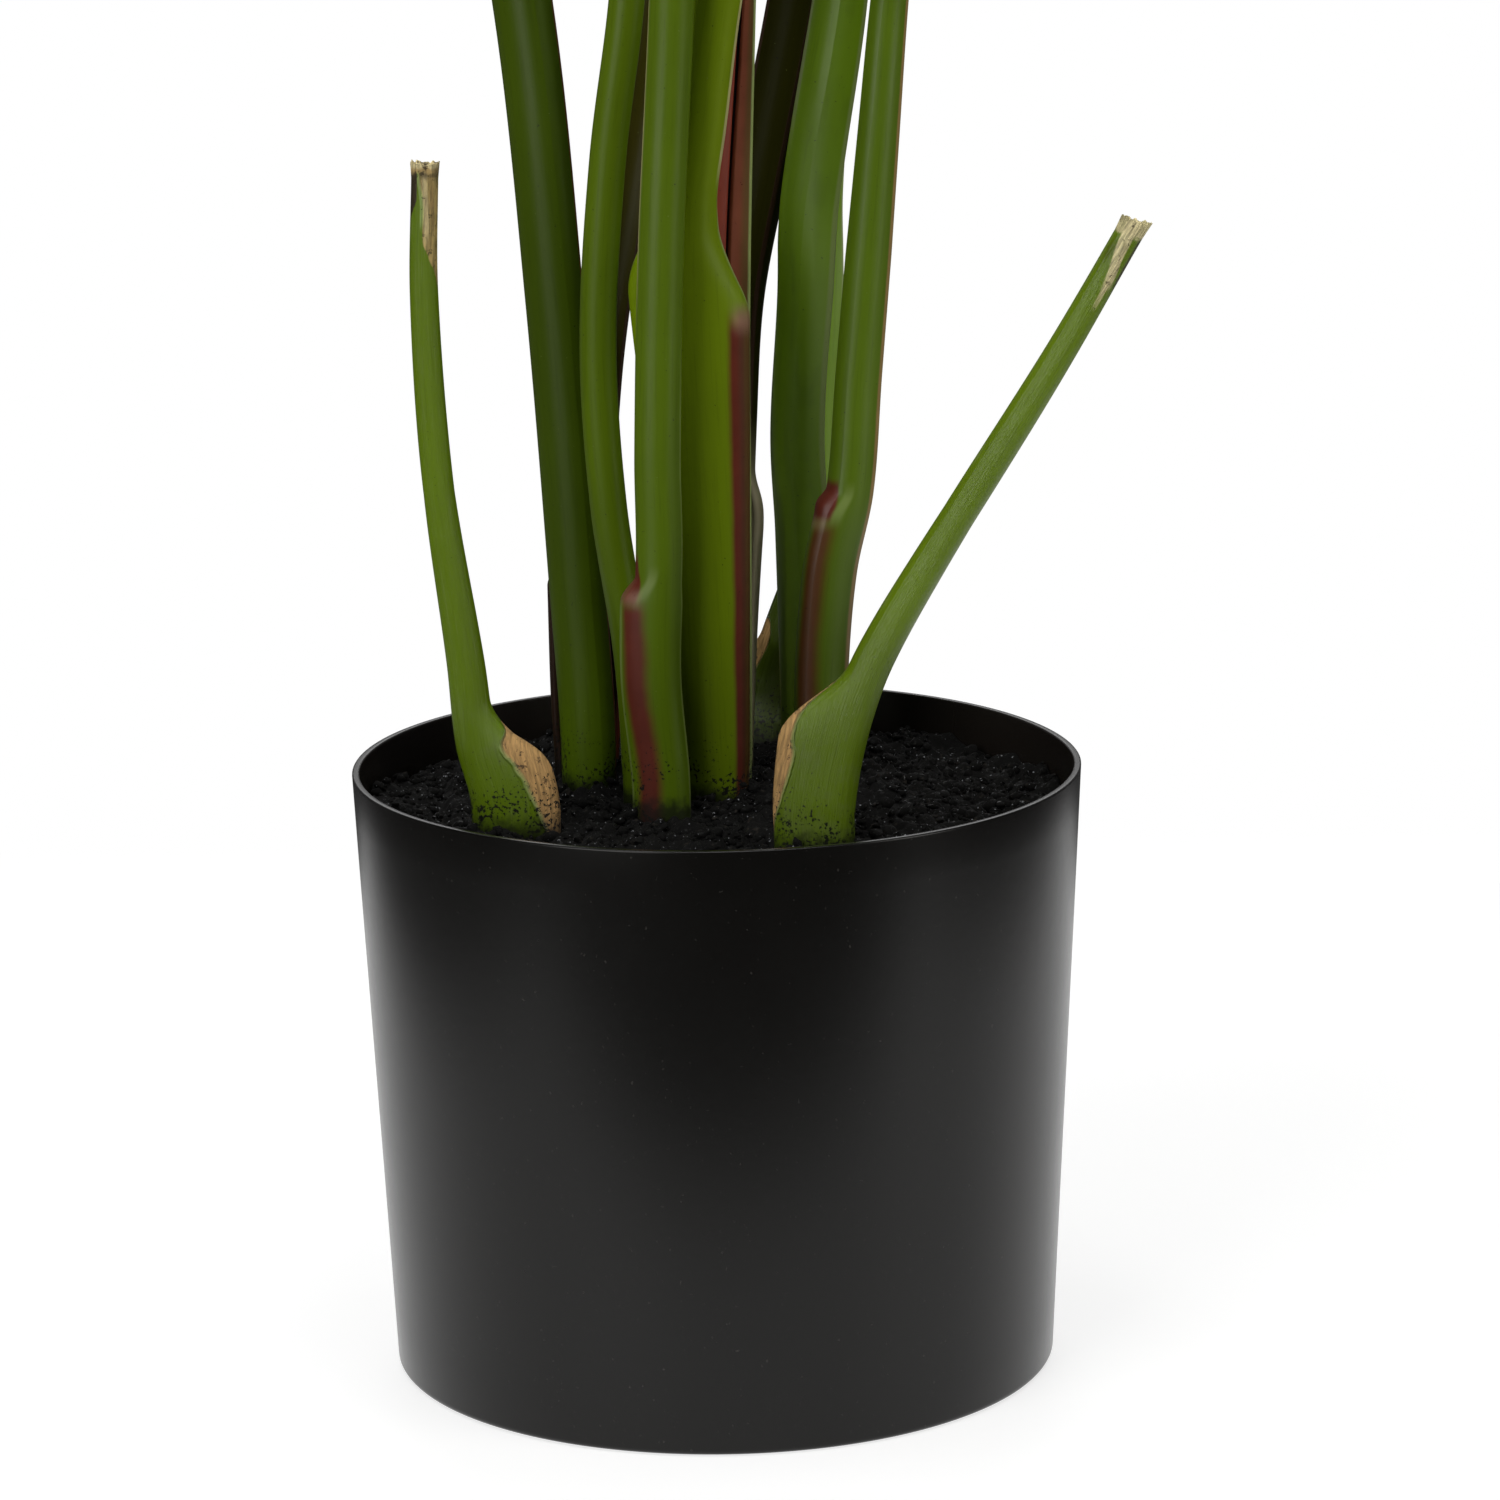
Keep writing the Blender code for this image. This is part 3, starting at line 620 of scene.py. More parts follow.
class SoilSettings(bpy.types.PropertyGroup):
    level: amount("Level", "Level of the soil's top in millimetres", 159.5)
    clod: amount("Clods", "Height of the soil's clods in millimetres", 2.0)
    crumbs: IntProperty(name="Crumbs", description="Number of loose crumbs", default=4200, min=0)
    crumb_size: amount("Crumb size", "Radius of the largest crumbs in millimetres", 2.4)
    colour: tint("Soil", "Colour of the soil", (0.0025, 0.0024, 0.0021))
    fibre: tint("Fibres", "Colour of the fibres in the soil", (0.03, 0.025, 0.02))
    # Pale specks that are grit and also painted glints on the damp soil.
    grit_and_glint: tint("Grit", "Colour of the bright grit in the soil", (0.3, 0.31, 0.33))
    gloss: portion("Gloss", "Gloss of the soil", 0.2)


class FoliageSettings(bpy.types.PropertyGroup):
    stalk: tint("Stalk", "Green of the stalks", (0.105, 0.185, 0.003))
    young: tint("Young", "Yellow-green of the young sheaths", (0.2, 0.28, 0.002))
    blade: tint("Blade", "Green of a blade's upper side", (0.028, 0.078, 0.012))
    underside: tint("Underside", "Green of a blade's underside", (0.055, 0.11, 0.026))
    rib: tint("Midrib", "Colour of a blade's midrib", (0.16, 0.2, 0.05))
    dry_edge: tint("Dry edge", "Brown of a blade's dry edge", (0.16, 0.13, 0.035))
    maroon: tint("Maroon", "Maroon of the sheaths' bands", (0.12, 0.02, 0.01))
    margin: tint("Margin", "Pale green of the margins", (0.3, 0.38, 0.13))
    scar: tint("Scar", "Tan of the stubs' scars", (0.36, 0.215, 0.08))
    cream: tint("Cream", "Cream of the dry fibres", (0.66, 0.56, 0.31))
    straw: tint("Straw", "Straw colour of the dry strips", (0.4, 0.28, 0.11))
    bruise: tint("Bruise", "Dark brown of the bruises", (0.035, 0.018, 0.012))
    husk: tint("Husk", "Brown of the sheaths' dry edges", (0.085, 0.028, 0.012))
    bark: tint("Bark", "Grey-brown of an old sheath", (0.42, 0.38, 0.25))
    rust: tint("Rust", "Warm brown of an old stalk", (0.2, 0.1, 0.02))
    dull_red: tint("Dull red", "Red of the newest leaf's inner face", (0.17, 0.05, 0.026))
    olive: tint("Olive", "Olive of that face's margin", (0.13, 0.1, 0.03))
    # Painted shade: the near-black down the newest leaf's slit stands for the shade in its groove.
    slit: tint("Slit", "Colour in the newest leaf's slit", (0.003, 0.0015, 0.001))
    # Painted highlight: pale pink where light catches the crest of a sheath's rolled lip.
    blush: tint("Blush", "Pale pink of the sheaths' lips", (0.36, 0.2, 0.14))
    # Also the colour of the near-black band just above the soil.
    dirt: tint("Dirt", "Colour of the soil on the stalks", (0.006, 0.006, 0.005))
    roughness: portion("Roughness", "Roughness of the stalks", 0.38)


class StageSettings(bpy.types.PropertyGroup):
    floor: tint("Floor", "Colour of the floor", (0.4, 0.4, 0.4))
    gloss: portion("Gloss", "Gloss of the floor", 0.1)
    glow: amount("Glow", "Strength of the floor's own light", 0.72)
    surround: amount("Surround", "Strength of the light from the front", 0.045)
    backdrop: amount("Backdrop", "Strength of the light from behind", 0.15)
    key: amount("Key", "Power of the front left light", 31.0, unit="POWER")
    fill: amount("Fill", "Power of the front right light", 21.0, unit="POWER")
    back: amount("Back", "Power of the light behind", 14.0, unit="POWER")
    top: amount("Top", "Power of the light overhead", 75.0, unit="POWER")


def maths(operation, flipped=False):
    """A method that adds a Math node. Flipped, it puts the other operand first."""

    def apply(self, *others):
        operands = (*others, self) if flipped else (self, *others)
        return self.graph.add("ShaderNodeMath", {"operation": operation}, dict(enumerate(operands)))

    return apply


class Value:
    """A shader value that adds Math nodes as it is used in an expression."""

    def __init__(self, graph, socket):
        self.graph = graph
        self.socket = socket

    __add__ = maths("ADD")
    __radd__ = maths("ADD", flipped=True)
    __sub__ = maths("SUBTRACT")
    __rsub__ = maths("SUBTRACT", flipped=True)
    __mul__ = maths("MULTIPLY")
    __rmul__ = maths("MULTIPLY", flipped=True)
    __truediv__ = maths("DIVIDE")
    __abs__ = maths("ABSOLUTE")
    sine = maths("SINE")
    most = maths("MAXIMUM")


class Graph:
    """The nodes of one material or of the world, each added by one method."""

    def __init__(self, owner):
        owner.use_nodes = True
        self.tree = owner.node_tree

    def add(self, kind, settings=None, values=None, output=0):
        """A node of that kind, its settings first and then the values or links of its sockets."""
        node = self.tree.nodes.new(kind)
        for key, value in (settings or {}).items():
            setattr(node, key, value)
        for key, value in (values or {}).items():
            if isinstance(value, Value):
                self.tree.links.new(value.socket, node.inputs[key])
            else:
                node.inputs[key].default_value = value
        return Value(self, node.outputs[output])

    def parts(self, vector):
        first = self.add("ShaderNodeSeparateXYZ", values={0: vector})
        return [Value(self, socket) for socket in first.socket.node.outputs]

    def fade(self, value, low, high):
        """0 up to low, 1 from high on, and smooth between. low may be the larger."""
        start, end = sorted((low, high))
        values = {"Value": value, "From Min": start, "From Max": end}
        share = self.add("ShaderNodeMapRange", {"interpolation_type": "SMOOTHSTEP"}, values)
        return 1.0 - share if low > high else share

    def mix(self, share, low, high):
        """A colour between two, each a Value or three numbers."""
        low, high = (end if isinstance(end, Value) else (*end, 1.0) for end in (low, high))
        return self.add("ShaderNodeMix", {"data_type": "RGBA"}, {0: share, 6: low, 7: high}, output=2)

    def vary(self, share, colour, low, high):
        """A colour between two tones of itself."""
        return self.mix(share, toned(colour, low), toned(colour, high))

    def bump(self, height, distance, strength, under=None):
        """Relief of that height in millimetres, over the relief under it."""
        values = {"Height": height, "Distance": distance * MM, "Strength": strength}
        if under:
            values["Normal"] = under
        return self.add("ShaderNodeBump", values=values)


class Finish(Graph):
    """A material under construction, on its Principled shader."""

    def __init__(self, name, gloss):
        self.material = bpy.data.materials.new(name)
        super().__init__(self.material)
        self.shader = self.tree.nodes["Principled BSDF"]
        self.shader.inputs["Specular IOR Level"].default_value = gloss
        self.place = self.add("ShaderNodeTexCoord", output="Object")

    def noise(self, scale, detail, roughness, at=None):
        values = {"Vector": at or self.place, "Scale": scale, "Detail": detail, "Roughness": roughness}
        return self.add("ShaderNodeTexNoise", values=values)

    def patches(self, scale, detail, roughness, low, high, strength):
        return self.fade(self.noise(scale, detail, roughness), low, high) * strength

    def feed(self, socket, value):
        self.tree.links.new(value.socket, self.shader.inputs[socket])


def object_from(bm, name, finish, sharp_degrees):
    """The bmesh as an object at the origin, smooth but for its sharp edges."""
    mesh = bpy.data.meshes.new(name)
    bm.to_mesh(mesh)
    bm.free()
    mesh.materials.append(finish.material)
    mesh.shade_smooth()
    mesh.set_sharp_from_angle(angle=math.radians(sharp_degrees))
    made = bpy.data.objects.new(name, mesh)
    bpy.context.scene.collection.objects.link(made)
    return made


def settle(piece, node):
    """The piece stands in for a CAD node, which it hides, and rides with the root body."""
    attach(piece, "root")
    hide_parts(node)


def ring_skin(rings, sides, place, layers=()):
    """A bmesh of rings, capped at both ends, and each vertex's (ring, side). place gives its point."""
    bm = bmesh.new()
    for layer in layers:
        bm.verts.layers.float_vector.new(layer)
    bmesh.ops.create_cone(bm, cap_ends=True, segments=sides, radius1=1, radius2=1, depth=1)
    lengthwise = [edge for edge in bm.edges if abs(edge.verts[0].co.z - edge.verts[1].co.z) > 0.5]
    bmesh.ops.subdivide_edges(bm, edges=lengthwise, cuts=rings - 2, use_grid_fill=True)
    keys = {}
    for vert in bm.verts:
        turn = math.atan2(vert.co.y, vert.co.x) / (2 * math.pi) * sides
        keys[vert] = (round((vert.co.z + 0.5) * (rings - 1)), round(turn) % sides)
    for vert, (ring, side) in keys.items():
        vert.co = place(ring, side) * MM
    return bm, keys


def turned(profile, sides, lift):
    """A solid turned from (radius, level) pairs. lift(point) moves each point."""

    def place(ring, side):
        radius, level = profile[ring]
        turn = 2 * math.pi * side / sides
        return lift(Vector((radius * math.cos(turn), radius * math.sin(turn), level)))

    return ring_skin(len(profile), sides, place)[0]


def quarter_turn(steps):
    """The sine and cosine at even steps through a quarter turn."""
    turns = [math.pi / 2 * i / steps for i in range(steps + 1)]
    return [(math.sin(turn), math.cos(turn)) for turn in turns]


# Pot


def pot_finish(settings):
    """Satin black plastic, with a faint haze, specks of dust, and painted light making the inner wall above
    the soil lighter.
    """
    finish = Finish("black_plastic", settings.gloss)
    haze = finish.noise(*HAZE)
    colour = finish.vary(haze, settings.colour, *POT_TONES)
    colour = finish.mix(finish.patches(*DUST), colour, settings.dust)
    # Painted light: the inner wall above the soil is painted lighter.
    x, y, z = (part / MM for part in finish.parts(finish.place))
    inside = finish.fade(x * x + y * y, *(radius ** 2 for radius in INNER_RIM_LIGHT_RADII))
    colour = finish.mix(inside * finish.fade(z, *FILM_LEVELS), colour, settings.film)
    finish.feed("Base Color", colour)
    grain = finish.noise(*GRAIN)
    finish.feed("Roughness", settings.roughness - 0.05 + haze * 0.08 + grain * 0.04)
    finish.feed("Normal", finish.bump(grain, *POT_RELIEF))
    return finish


def wall_radius(settings, level):
    return mixed(settings.foot_radius, settings.top_radius, level / settings.height)


def pot_profile(settings):
    """(radius, level) from the middle of the base, up the outside, over the rim and down the inside."""
    flat = wall_radius(settings, FOOT_ROUNDING) - FOOT_ROUNDING
    ring = flat - BASE_RING
    profile = [(POT_HUB, BASE_RECESS), (ring - BASE_RECESS, BASE_RECESS), (ring, 0.0)]
    for sine, cosine in quarter_turn(FOOT_STEPS):
        profile.append((flat + FOOT_ROUNDING * sine, FOOT_ROUNDING * (1 - cosine)))
    straight = settings.height - RIM_ROUNDING
    for i in range(1, POT_WALL_RINGS + 1):
        level = mixed(FOOT_ROUNDING, straight, i / POT_WALL_RINGS)
        profile.append((wall_radius(settings, level), level))
    outer = settings.top_radius - RIM_ROUNDING
    inner = settings.top_radius - POT_WALL + RIM_ROUNDING
    for sine, cosine in quarter_turn(RIM_STEPS)[1:]:
        profile.append((outer + RIM_ROUNDING * cosine, straight + RIM_ROUNDING * sine))
    for sine, cosine in quarter_turn(RIM_STEPS):
        profile.append((inner - RIM_ROUNDING * sine, straight + RIM_ROUNDING * cosine))
    for level in (*INSIDE_LEVELS, POT_FLOOR):
        profile.append((wall_radius(settings, level) - POT_WALL, level))
    return profile + [(POT_HUB, POT_FLOOR)]


def pot_warp(point):
    """A moulded thin wall is never quite round."""
    turn = math.atan2(point.y, point.x)
    swell = sum(strength * math.cos(count * turn + shift) for strength, count, shift in POT_WARP_WAVES)
    share = 1 + POT_WARP * swell * smooth_step(*POT_WARP_LEVELS, point.z)
    return Vector((point.x * share, point.y * share, point.z))


class PALM_OT_make_pot(bpy.types.Operator):
    """Make the nursery pot"""

    bl_idname = "palm.make_pot"
    bl_label = "Make Pot"

    def execute(self, context):
        settings = context.scene.palm_pot
        bm = turned(pot_profile(settings), POT_SIDES, pot_warp)
        pot = object_from(bm, "nursery_pot", pot_finish(settings), sharp_degrees=50)
        settle(pot, "pot")
        return {"FINISHED"}


# Soil


def soil_finish(settings):
    """Dark crumbly soil with a few fibres, and bright specks that are grit and painted glints."""
    finish = Finish("potting_soil", settings.gloss)
    clump = finish.noise(*CLUMPS)
    grit = finish.noise(*GRIT)
    # Painted shade: the clump noise that lowers the relief also darkens the colour, so the troughs are
    # darker; the clods also differ in tone.
    colour = finish.vary(clump, settings.colour, *SOIL_CLOD_AND_TROUGH_SHADE_TONES)
    colour = finish.mix(finish.patches(*SOIL_FIBRES), colour, settings.fibre)
    colour = finish.mix(finish.patches(*GRIT_AND_GLINTS), colour, settings.grit_and_glint)
    finish.feed("Base Color", colour)
    finish.feed("Roughness", 0.95 - finish.fade(grit, 0.56, 0.66) * 0.55)
    finish.feed("Normal", finish.bump(grit, *GRIT_RELIEF, finish.bump(clump, *CLUMP_RELIEF)))
    return finish


def soil_top(point, settings):
    """The level of the soil's top at a point: a mound with lumps and clods, banked up against the stems."""
    short, middle, long = SOIL_LUMP_LENGTHS
    lump = math.sin(point.x / short) * math.cos(point.y / middle) + math.sin((point.x + point.y) / long)
    mound = SOIL_MOUND * (1 - (math.hypot(point.x, point.y) / SOIL_MOUND_RADIUS) ** 2)
    height = settings.level + mound + SOIL_LUMP * lump
    for length, share in zip(CLOD_LENGTHS, CLOD_SHARES):
        crag = abs(noise.noise((point.x / length, point.y / length, length)))
        height += settings.clod * share * (CLOD_CRAG * crag - CLOD_SINK)
    for stem in LEAVES + STUBS:
        foot = stem.stalk[0]
        apart = math.hypot(point.x - foot[0], point.y - foot[1]) - stem.half_width[0]
        height += BANK_HEIGHT * math.exp(-((max(apart, 0.0) / BANK_REACH) ** 2))
    return height


def soil_profile(settings, pot):
    """(radius, level) up the side and in over the top, towards the middle."""
    gap = POT_WALL + SOIL_GAP
    floor = POT_FLOOR + SOIL_GAP
    edge = wall_radius(pot, settings.level) - gap
    profile = [(wall_radius(pot, floor) - gap, floor), (edge, settings.level - SOIL_SHOULDER)]
    return profile + [(edge * (1 - i / SOIL_RINGS), settings.level) for i in range(SOIL_RINGS)]


def scatter_crumbs(bm, settings, edge):
    """Loose few-faced crumbs, many small and few large, sunk a little into the soil's top."""
    draw = random.Random(CRUMB_SEED)
    for _ in range(settings.crumbs // CRUMB_BATCH):
        batch = bmesh.new()
        add_crumbs(batch, settings, edge, draw)
        mesh = bpy.data.meshes.new("crumbs")
        batch.to_mesh(mesh)
        batch.free()
        bm.from_mesh(mesh)
        bpy.data.meshes.remove(mesh)


def add_crumbs(bm, settings, edge, draw):
    """One batch of crumbs, because a bmesh slows down as they are added to it."""
    for i in range(CRUMB_BATCH):
        if i % CRUMB_CLUMP == 0:
            reach = edge * math.sqrt(draw.random())
            turn = draw.uniform(0, 2 * math.pi)
            clump = Vector((reach * math.cos(turn), reach * math.sin(turn), 0))
        size = settings.crumb_size * mixed(CRUMB_LEAST, 1, draw.random() ** CRUMB_RARITY)
        point = clump + Vector((draw.gauss(0, CRUMB_SPREAD), draw.gauss(0, CRUMB_SPREAD), 0))
        if point.length > edge - size:
            point *= (edge - size) / point.length
        point.z = soil_top(point, settings) + CRUMB_RISE * size
        widths = [draw.uniform(*CRUMB_WIDTHS) for _ in "xy"]
        stretch = Matrix.Diagonal((*widths, draw.uniform(*CRUMB_HEIGHTS), 1))
        spin = Matrix.Rotation(draw.uniform(*CRUMB_SPINS), 4, "Z")
        tilt = Matrix.Rotation(draw.uniform(*CRUMB_TILTS), 4, "X")
        matrix = Matrix.Translation(point * MM) @ (spin @ tilt) @ stretch @ Matrix.Scale(size * MM, 4)
        made = bmesh.ops.create_icosphere(bm, subdivisions=1, radius=1, matrix=matrix)
        for vert in made["verts"]:
            shift = Vector([draw.uniform(-1, 1) for _ in "xyz"])
            vert.co += shift * size * CRUMB_ROUGHNESS * MM


class PALM_OT_make_soil(bpy.types.Operator):
    """Make the potting soil with its clods and crumbs"""

    bl_idname = "palm.make_soil"
    bl_label = "Make Soil"

    def execute(self, context):
        settings = context.scene.palm_soil
        profile = soil_profile(settings, context.scene.palm_pot)

        def lift(point):
            if point.z >= settings.level:
                point.z = soil_top(point, settings)
            return point

        bm = turned(profile, SOIL_SIDES, lift)
        scatter_crumbs(bm, settings, edge=profile[1][0])
        soil = object_from(bm, "potting_soil", soil_finish(settings), sharp_degrees=80)
        settle(soil, "soil")
        return {"FINISHED"}


# Stems


class Axis:
    """A smooth curve through a stem's points, straight and upright from its root to its collar."""

    def __init__(self, points):
        foot = points[0]
        self.points = [Vector((*foot, ROOT_LEVEL)), Vector((*foot, COLLAR_LEVEL)), *map(Vector, points[1:])]
        self.marks = [0.0]
        for low, high in zip(self.points, self.points[1:]):
            self.marks.append(self.marks[-1] + (high - low).length)
        self.length = self.marks[-1]
        self.slopes = [self._slope(i) for i in range(len(self.points))]

    def _slope(self, i):
        if i < 2:
            return UP.copy()
        last = min(i + 1, len(self.points) - 1)
        span = self.marks[last] - self.marks[i - 1]
        return (self.points[last] - self.points[i - 1]) / span

    def at(self, distance):
        """The point at a distance along, on a cubic between the two points round it."""
        i = len(self.marks) - 2
        while i and self.marks[i] > distance:
            i -= 1
        size = self.marks[i + 1] - self.marks[i]
        t = (distance - self.marks[i]) / size
        start = self.points[i] * (1 + 2 * t) * (1 - t) ** 2
        end = self.points[i + 1] * t * t * (3 - 2 * t)
        leave = self.slopes[i] * size * t * (1 - t) ** 2
        arrive = self.slopes[i + 1] * size * t * t * (t - 1)
        return start + end + leave + arrive

    def direction(self, distance):
        low = max(0.0, distance - DIRECTION_STEP)
        high = min(self.length, distance + DIRECTION_STEP)
        return (self.at(high) - self.at(low)).normalized()


def level_share(levels, distance):
    """0 up to the first level, 1 from the second on, at a distance from a stem's root."""
    return smooth_step(levels[0] - ROOT_LEVEL, levels[1] - ROOT_LEVEL, distance)


class Form:
    """The shape of one stem: where each point of its skin lies."""

    def __init__(self, stem):
        self.stem = stem
        self.axis = Axis(stem.stalk + stem.blade)
        self.collar = self.axis.marks[1]
        self.stalk_end = self.axis.marks[len(stem.stalk)]
        self.blade_length = self.axis.length - self.stalk_end
        middle = [level - ROOT_LEVEL for level in GIRTH_LEVELS]
        if not stem.blade:
            middle = [(self.collar + self.stalk_end) / 2]
        self.girth_marks = [self.collar, *middle, self.stalk_end]

    def frame(self, distance):
        """The axis's point, the way across, the way out of the round side and the way along."""
        share = smooth_step(self.collar, self.stalk_end, distance)
        turn = mixed(*self.stem.facing, share)
        if self.stem.twist:
            turn += self.stem.twist[2] * level_share(self.stem.twist, distance)
        turn = math.radians(turn)
        along = self.axis.direction(distance)
        across = Vector((-math.sin(turn), math.cos(turn), 0))
        across = (across - along * across.dot(along)).normalized()
        return self.axis.at(distance), across, across.cross(along), along

    def sheath_share(self, distance):
        """1 in the sheath and 0 above its upper edge."""
        return 1 - level_share(self.stem.sheath, distance) if self.stem.sheath else 0.0

    def plain_share(self, distance):
        """0 in the plain stalk below its collar and 1 soon above it."""
        return smooth_step(self.collar, self.collar + CHANNEL_FADE, distance)

    def girth(self, sizes, distance):
        """A size of the stalk, which is given at each of girth_marks."""
        marks = self.girth_marks
        i = 0
        while i < len(marks) - 2 and distance > marks[i + 1]:
            i += 1
        if i == len(marks) - 2:
            share = smooth_step(marks[i], marks[i + 1], distance)
        else:
            share = max(0.0, distance - marks[i]) / (marks[i + 1] - marks[i])
        return mixed(sizes[i], sizes[i + 1], share)

    def half_width(self, distance, side):
        """Half the stalk's width on one side, with the sheath's share there."""
        plain = self.girth(self.stem.half_width, distance)
        if not self.stem.sheath:
            return plain
        low, _, left, right, at_collar = self.stem.sheath
        rise = max(0.0, min(1.0, (distance - self.collar) / (low - COLLAR_LEVEL)))
        extra = right if side > 0 else left
        drop = self.stem.sheath_drop if side > 0 else 0.0
        return plain + extra * mixed(at_collar, 1.0, rise) * self.sheath_share(distance + drop)

    def swell(self, distance, share):
        """How far the margin's bead stands out, and the roll of the sheath's upper edge with it."""
        swell = BEAD * smooth_step(*BEAD_SHARES, abs(share))
        if self.stem.sheath and self.stem.blade:
            extra = self.stem.sheath[3] if share > 0 else self.stem.sheath[2]
            if extra > ROLL_LEAST:
                edge = self.sheath_share(distance)
                swell += SHEATH_ROLL * 4 * edge * (1 - edge) * smooth_step(*ROLL_SHARES, abs(share))
        return swell * self.plain_share(distance)

    def stalk_point(self, distance, share, inner):
        """(across, out) of a point of the stalk's section."""
        swell = self.swell(distance, share)
        width = self.half_width(distance, share) + swell
        depth = self.girth(self.stem.depth, distance) + swell
        if not inner:
            angle = share * ROUND_ARC
            return width * math.sin(angle), depth * math.cos(angle)
        edge = width * math.sin(ROUND_ARC) * MARGIN_INSET
        fade = self.plain_share(distance)
        channel = mixed(CHANNEL, SHEATH_CHANNEL, self.sheath_share(distance)) * fade
        floor = depth * (math.cos(ROUND_ARC) - MARGIN_LIP)
        if self.stem.slit:
            lean = SLIT_LEAN * level_share(SLIT_LEAN_LEVELS, distance)
            lean *= 1 - level_share(SLIT_UPRIGHT_LEVELS, distance)
            floor += fade * SLIT_DEPTH * math.exp(-((share / SLIT_HALF_WIDTH) ** 2))
            share += lean * (1 - abs(share))
        return edge * share, floor + depth * channel * (1 - share * share)

    def blade_half_width(self, share, side):
        """Half the blade's width at a share of its length, with its tears."""
        full = self.stem.blade_half_width
        if share < BLADE_SHOULDER:
            full *= 1 - (1 - share / BLADE_SHOULDER) ** BLADE_SHOULDER_POWER
        if share > BLADE_TAPER_START:
            full *= 1 - ((share - BLADE_TAPER_START) / (1 - BLADE_TAPER_START)) ** BLADE_TAPER_POWER
        for place, torn_side, left in self.stem.tears:
            near = max(0.0, 1 - abs(share - place) / TEAR_HALF_GAP)
            if torn_side * side > 0:
                full *= 1 - (1 - left) * near ** TEAR_POWER
        return max(full, TIP_HALF_WIDTH)

    def blade_lift(self, share, side, reach, part):
        """How far the blade stands off a flat one: its fold, droop, waves, pleats and torn flaps."""
        lift = reach * FOLD * (1 - share) ** 2 - DROOP * share * part * part
        onset = smooth_step(0.0, WAVE_ONSET, share)
        phase = 2 * math.pi * WAVE_COUNT * share + self.stem.wave_shift + side
        lift += WAVE * part ** WAVE_POWER * math.sin(phase) * onset
        place = (share * RIPPLE_COUNT, side * RIPPLE_SIDES_APART, self.stem.wave_shift)
        lift += RIPPLE * noise.noise(place) * part * part * onset
        pleat = 2 * math.pi * share * self.blade_length / PLEAT_LENGTH
        lift += PLEAT * math.sin(pleat) * smooth_step(*PLEAT_ONSET, part) * onset
        for place, torn_side, left in self.stem.tears:
            if torn_side * side > 0 and part > left:
                apart = (share - place) / TEAR_REACH
                flap = TEAR_LIFT * math.exp(-apart * apart) * (part - left) / (1 - left)
                lift += math.copysign(flap, apart) * smooth_step(0, TEAR_LIFT_ONSET, abs(apart))
        return lift

    def blade_point(self, distance, share_across, inner):
        """(across, out, along) of a point of the blade's section."""
        share = (distance - self.stalk_end) / self.blade_length
        side = (share_across > 0) - (share_across < 0)
        out_share = abs(share_across)
        width = self.blade_half_width(share, side)
        rib = min(mixed(RIB_EDGE_HALF_WIDTH, RIB_TIP_HALF_WIDTH, share), width / 2)
        if out_share < RIB_SHARE:
            reach = rib * out_share / RIB_SHARE
        else:
            reach = mixed(rib, width, (out_share - RIB_SHARE) / (1 - RIB_SHARE))
        part = reach / self.stem.blade_half_width
        lift = self.blade_lift(share, side, reach, part)
        skin = mixed(BLADE_THICKNESS, MARGIN_THICKNESS, min(1.0, part)) / 2
        if inner:
            hollow = math.sin(math.pi * min(1.0, out_share / (2 * RIB_SHARE)))
            skin = -skin - RIB_HOLLOW * hollow
        else:
            ridge = max(0.0, 1 - (out_share / RIB_SHARE) ** 2)
            skin += mixed(self.stem.depth[-1], RIB_TIP_DEPTH, share ** RIB_TAPER_POWER) * ridge
        return side * reach, skin - lift, reach * math.tan(VEIN_SLANT)

    def cut_end(self, distance, side, depth):
        """A stub's section near its cut end, which flares, tilts and ends ragged."""
        end = self.stalk_end
        flare = 1 + CUT_FLARE * smooth_step(end - CUT_FLARE_REACH, end, distance)
        slant = CUT_TILTS[self.stem.name] * side * smooth_step(end - CUT_TILT_REACH, end, distance)
        if distance > end - LOW_STEP / 2:
            slant += CUT_RAGGED * noise.noise((side * CUT_RAGGED_COUNT, depth * CUT_RAGGED_COUNT, end))
        return side * flare, depth * flare, slant

    def ring(self, distance):
        """The skin's points at one distance along, round side first, as (point, across, share, inside).

        The share of the blade there comes with them."""
        place, across, out, along = self.frame(distance)
        reach = self.blade_length * STALK_TO_BLADE
        bladed = 0.0
        if self.stem.blade:
            bladed = smooth_step(self.stalk_end - reach, self.stalk_end + reach, distance)
        points = []
        for inner in (False, True):
            for share in reversed(SECTION) if inner else SECTION:
                side, depth = self.stalk_point(min(distance, self.stalk_end), share, inner)
                slant = 0.0
                if bladed:
                    wide = self.blade_point(max(distance, self.stalk_end), share, inner)
                    side, depth, slant = blended((side, depth, 0.0), wide, bladed)
                if not self.stem.blade:
                    side, depth, slant = self.cut_end(distance, side, depth)
                point = place + across * side + out * depth + along * slant
                points.append((point, side, share, float(inner)))
        return points, bladed

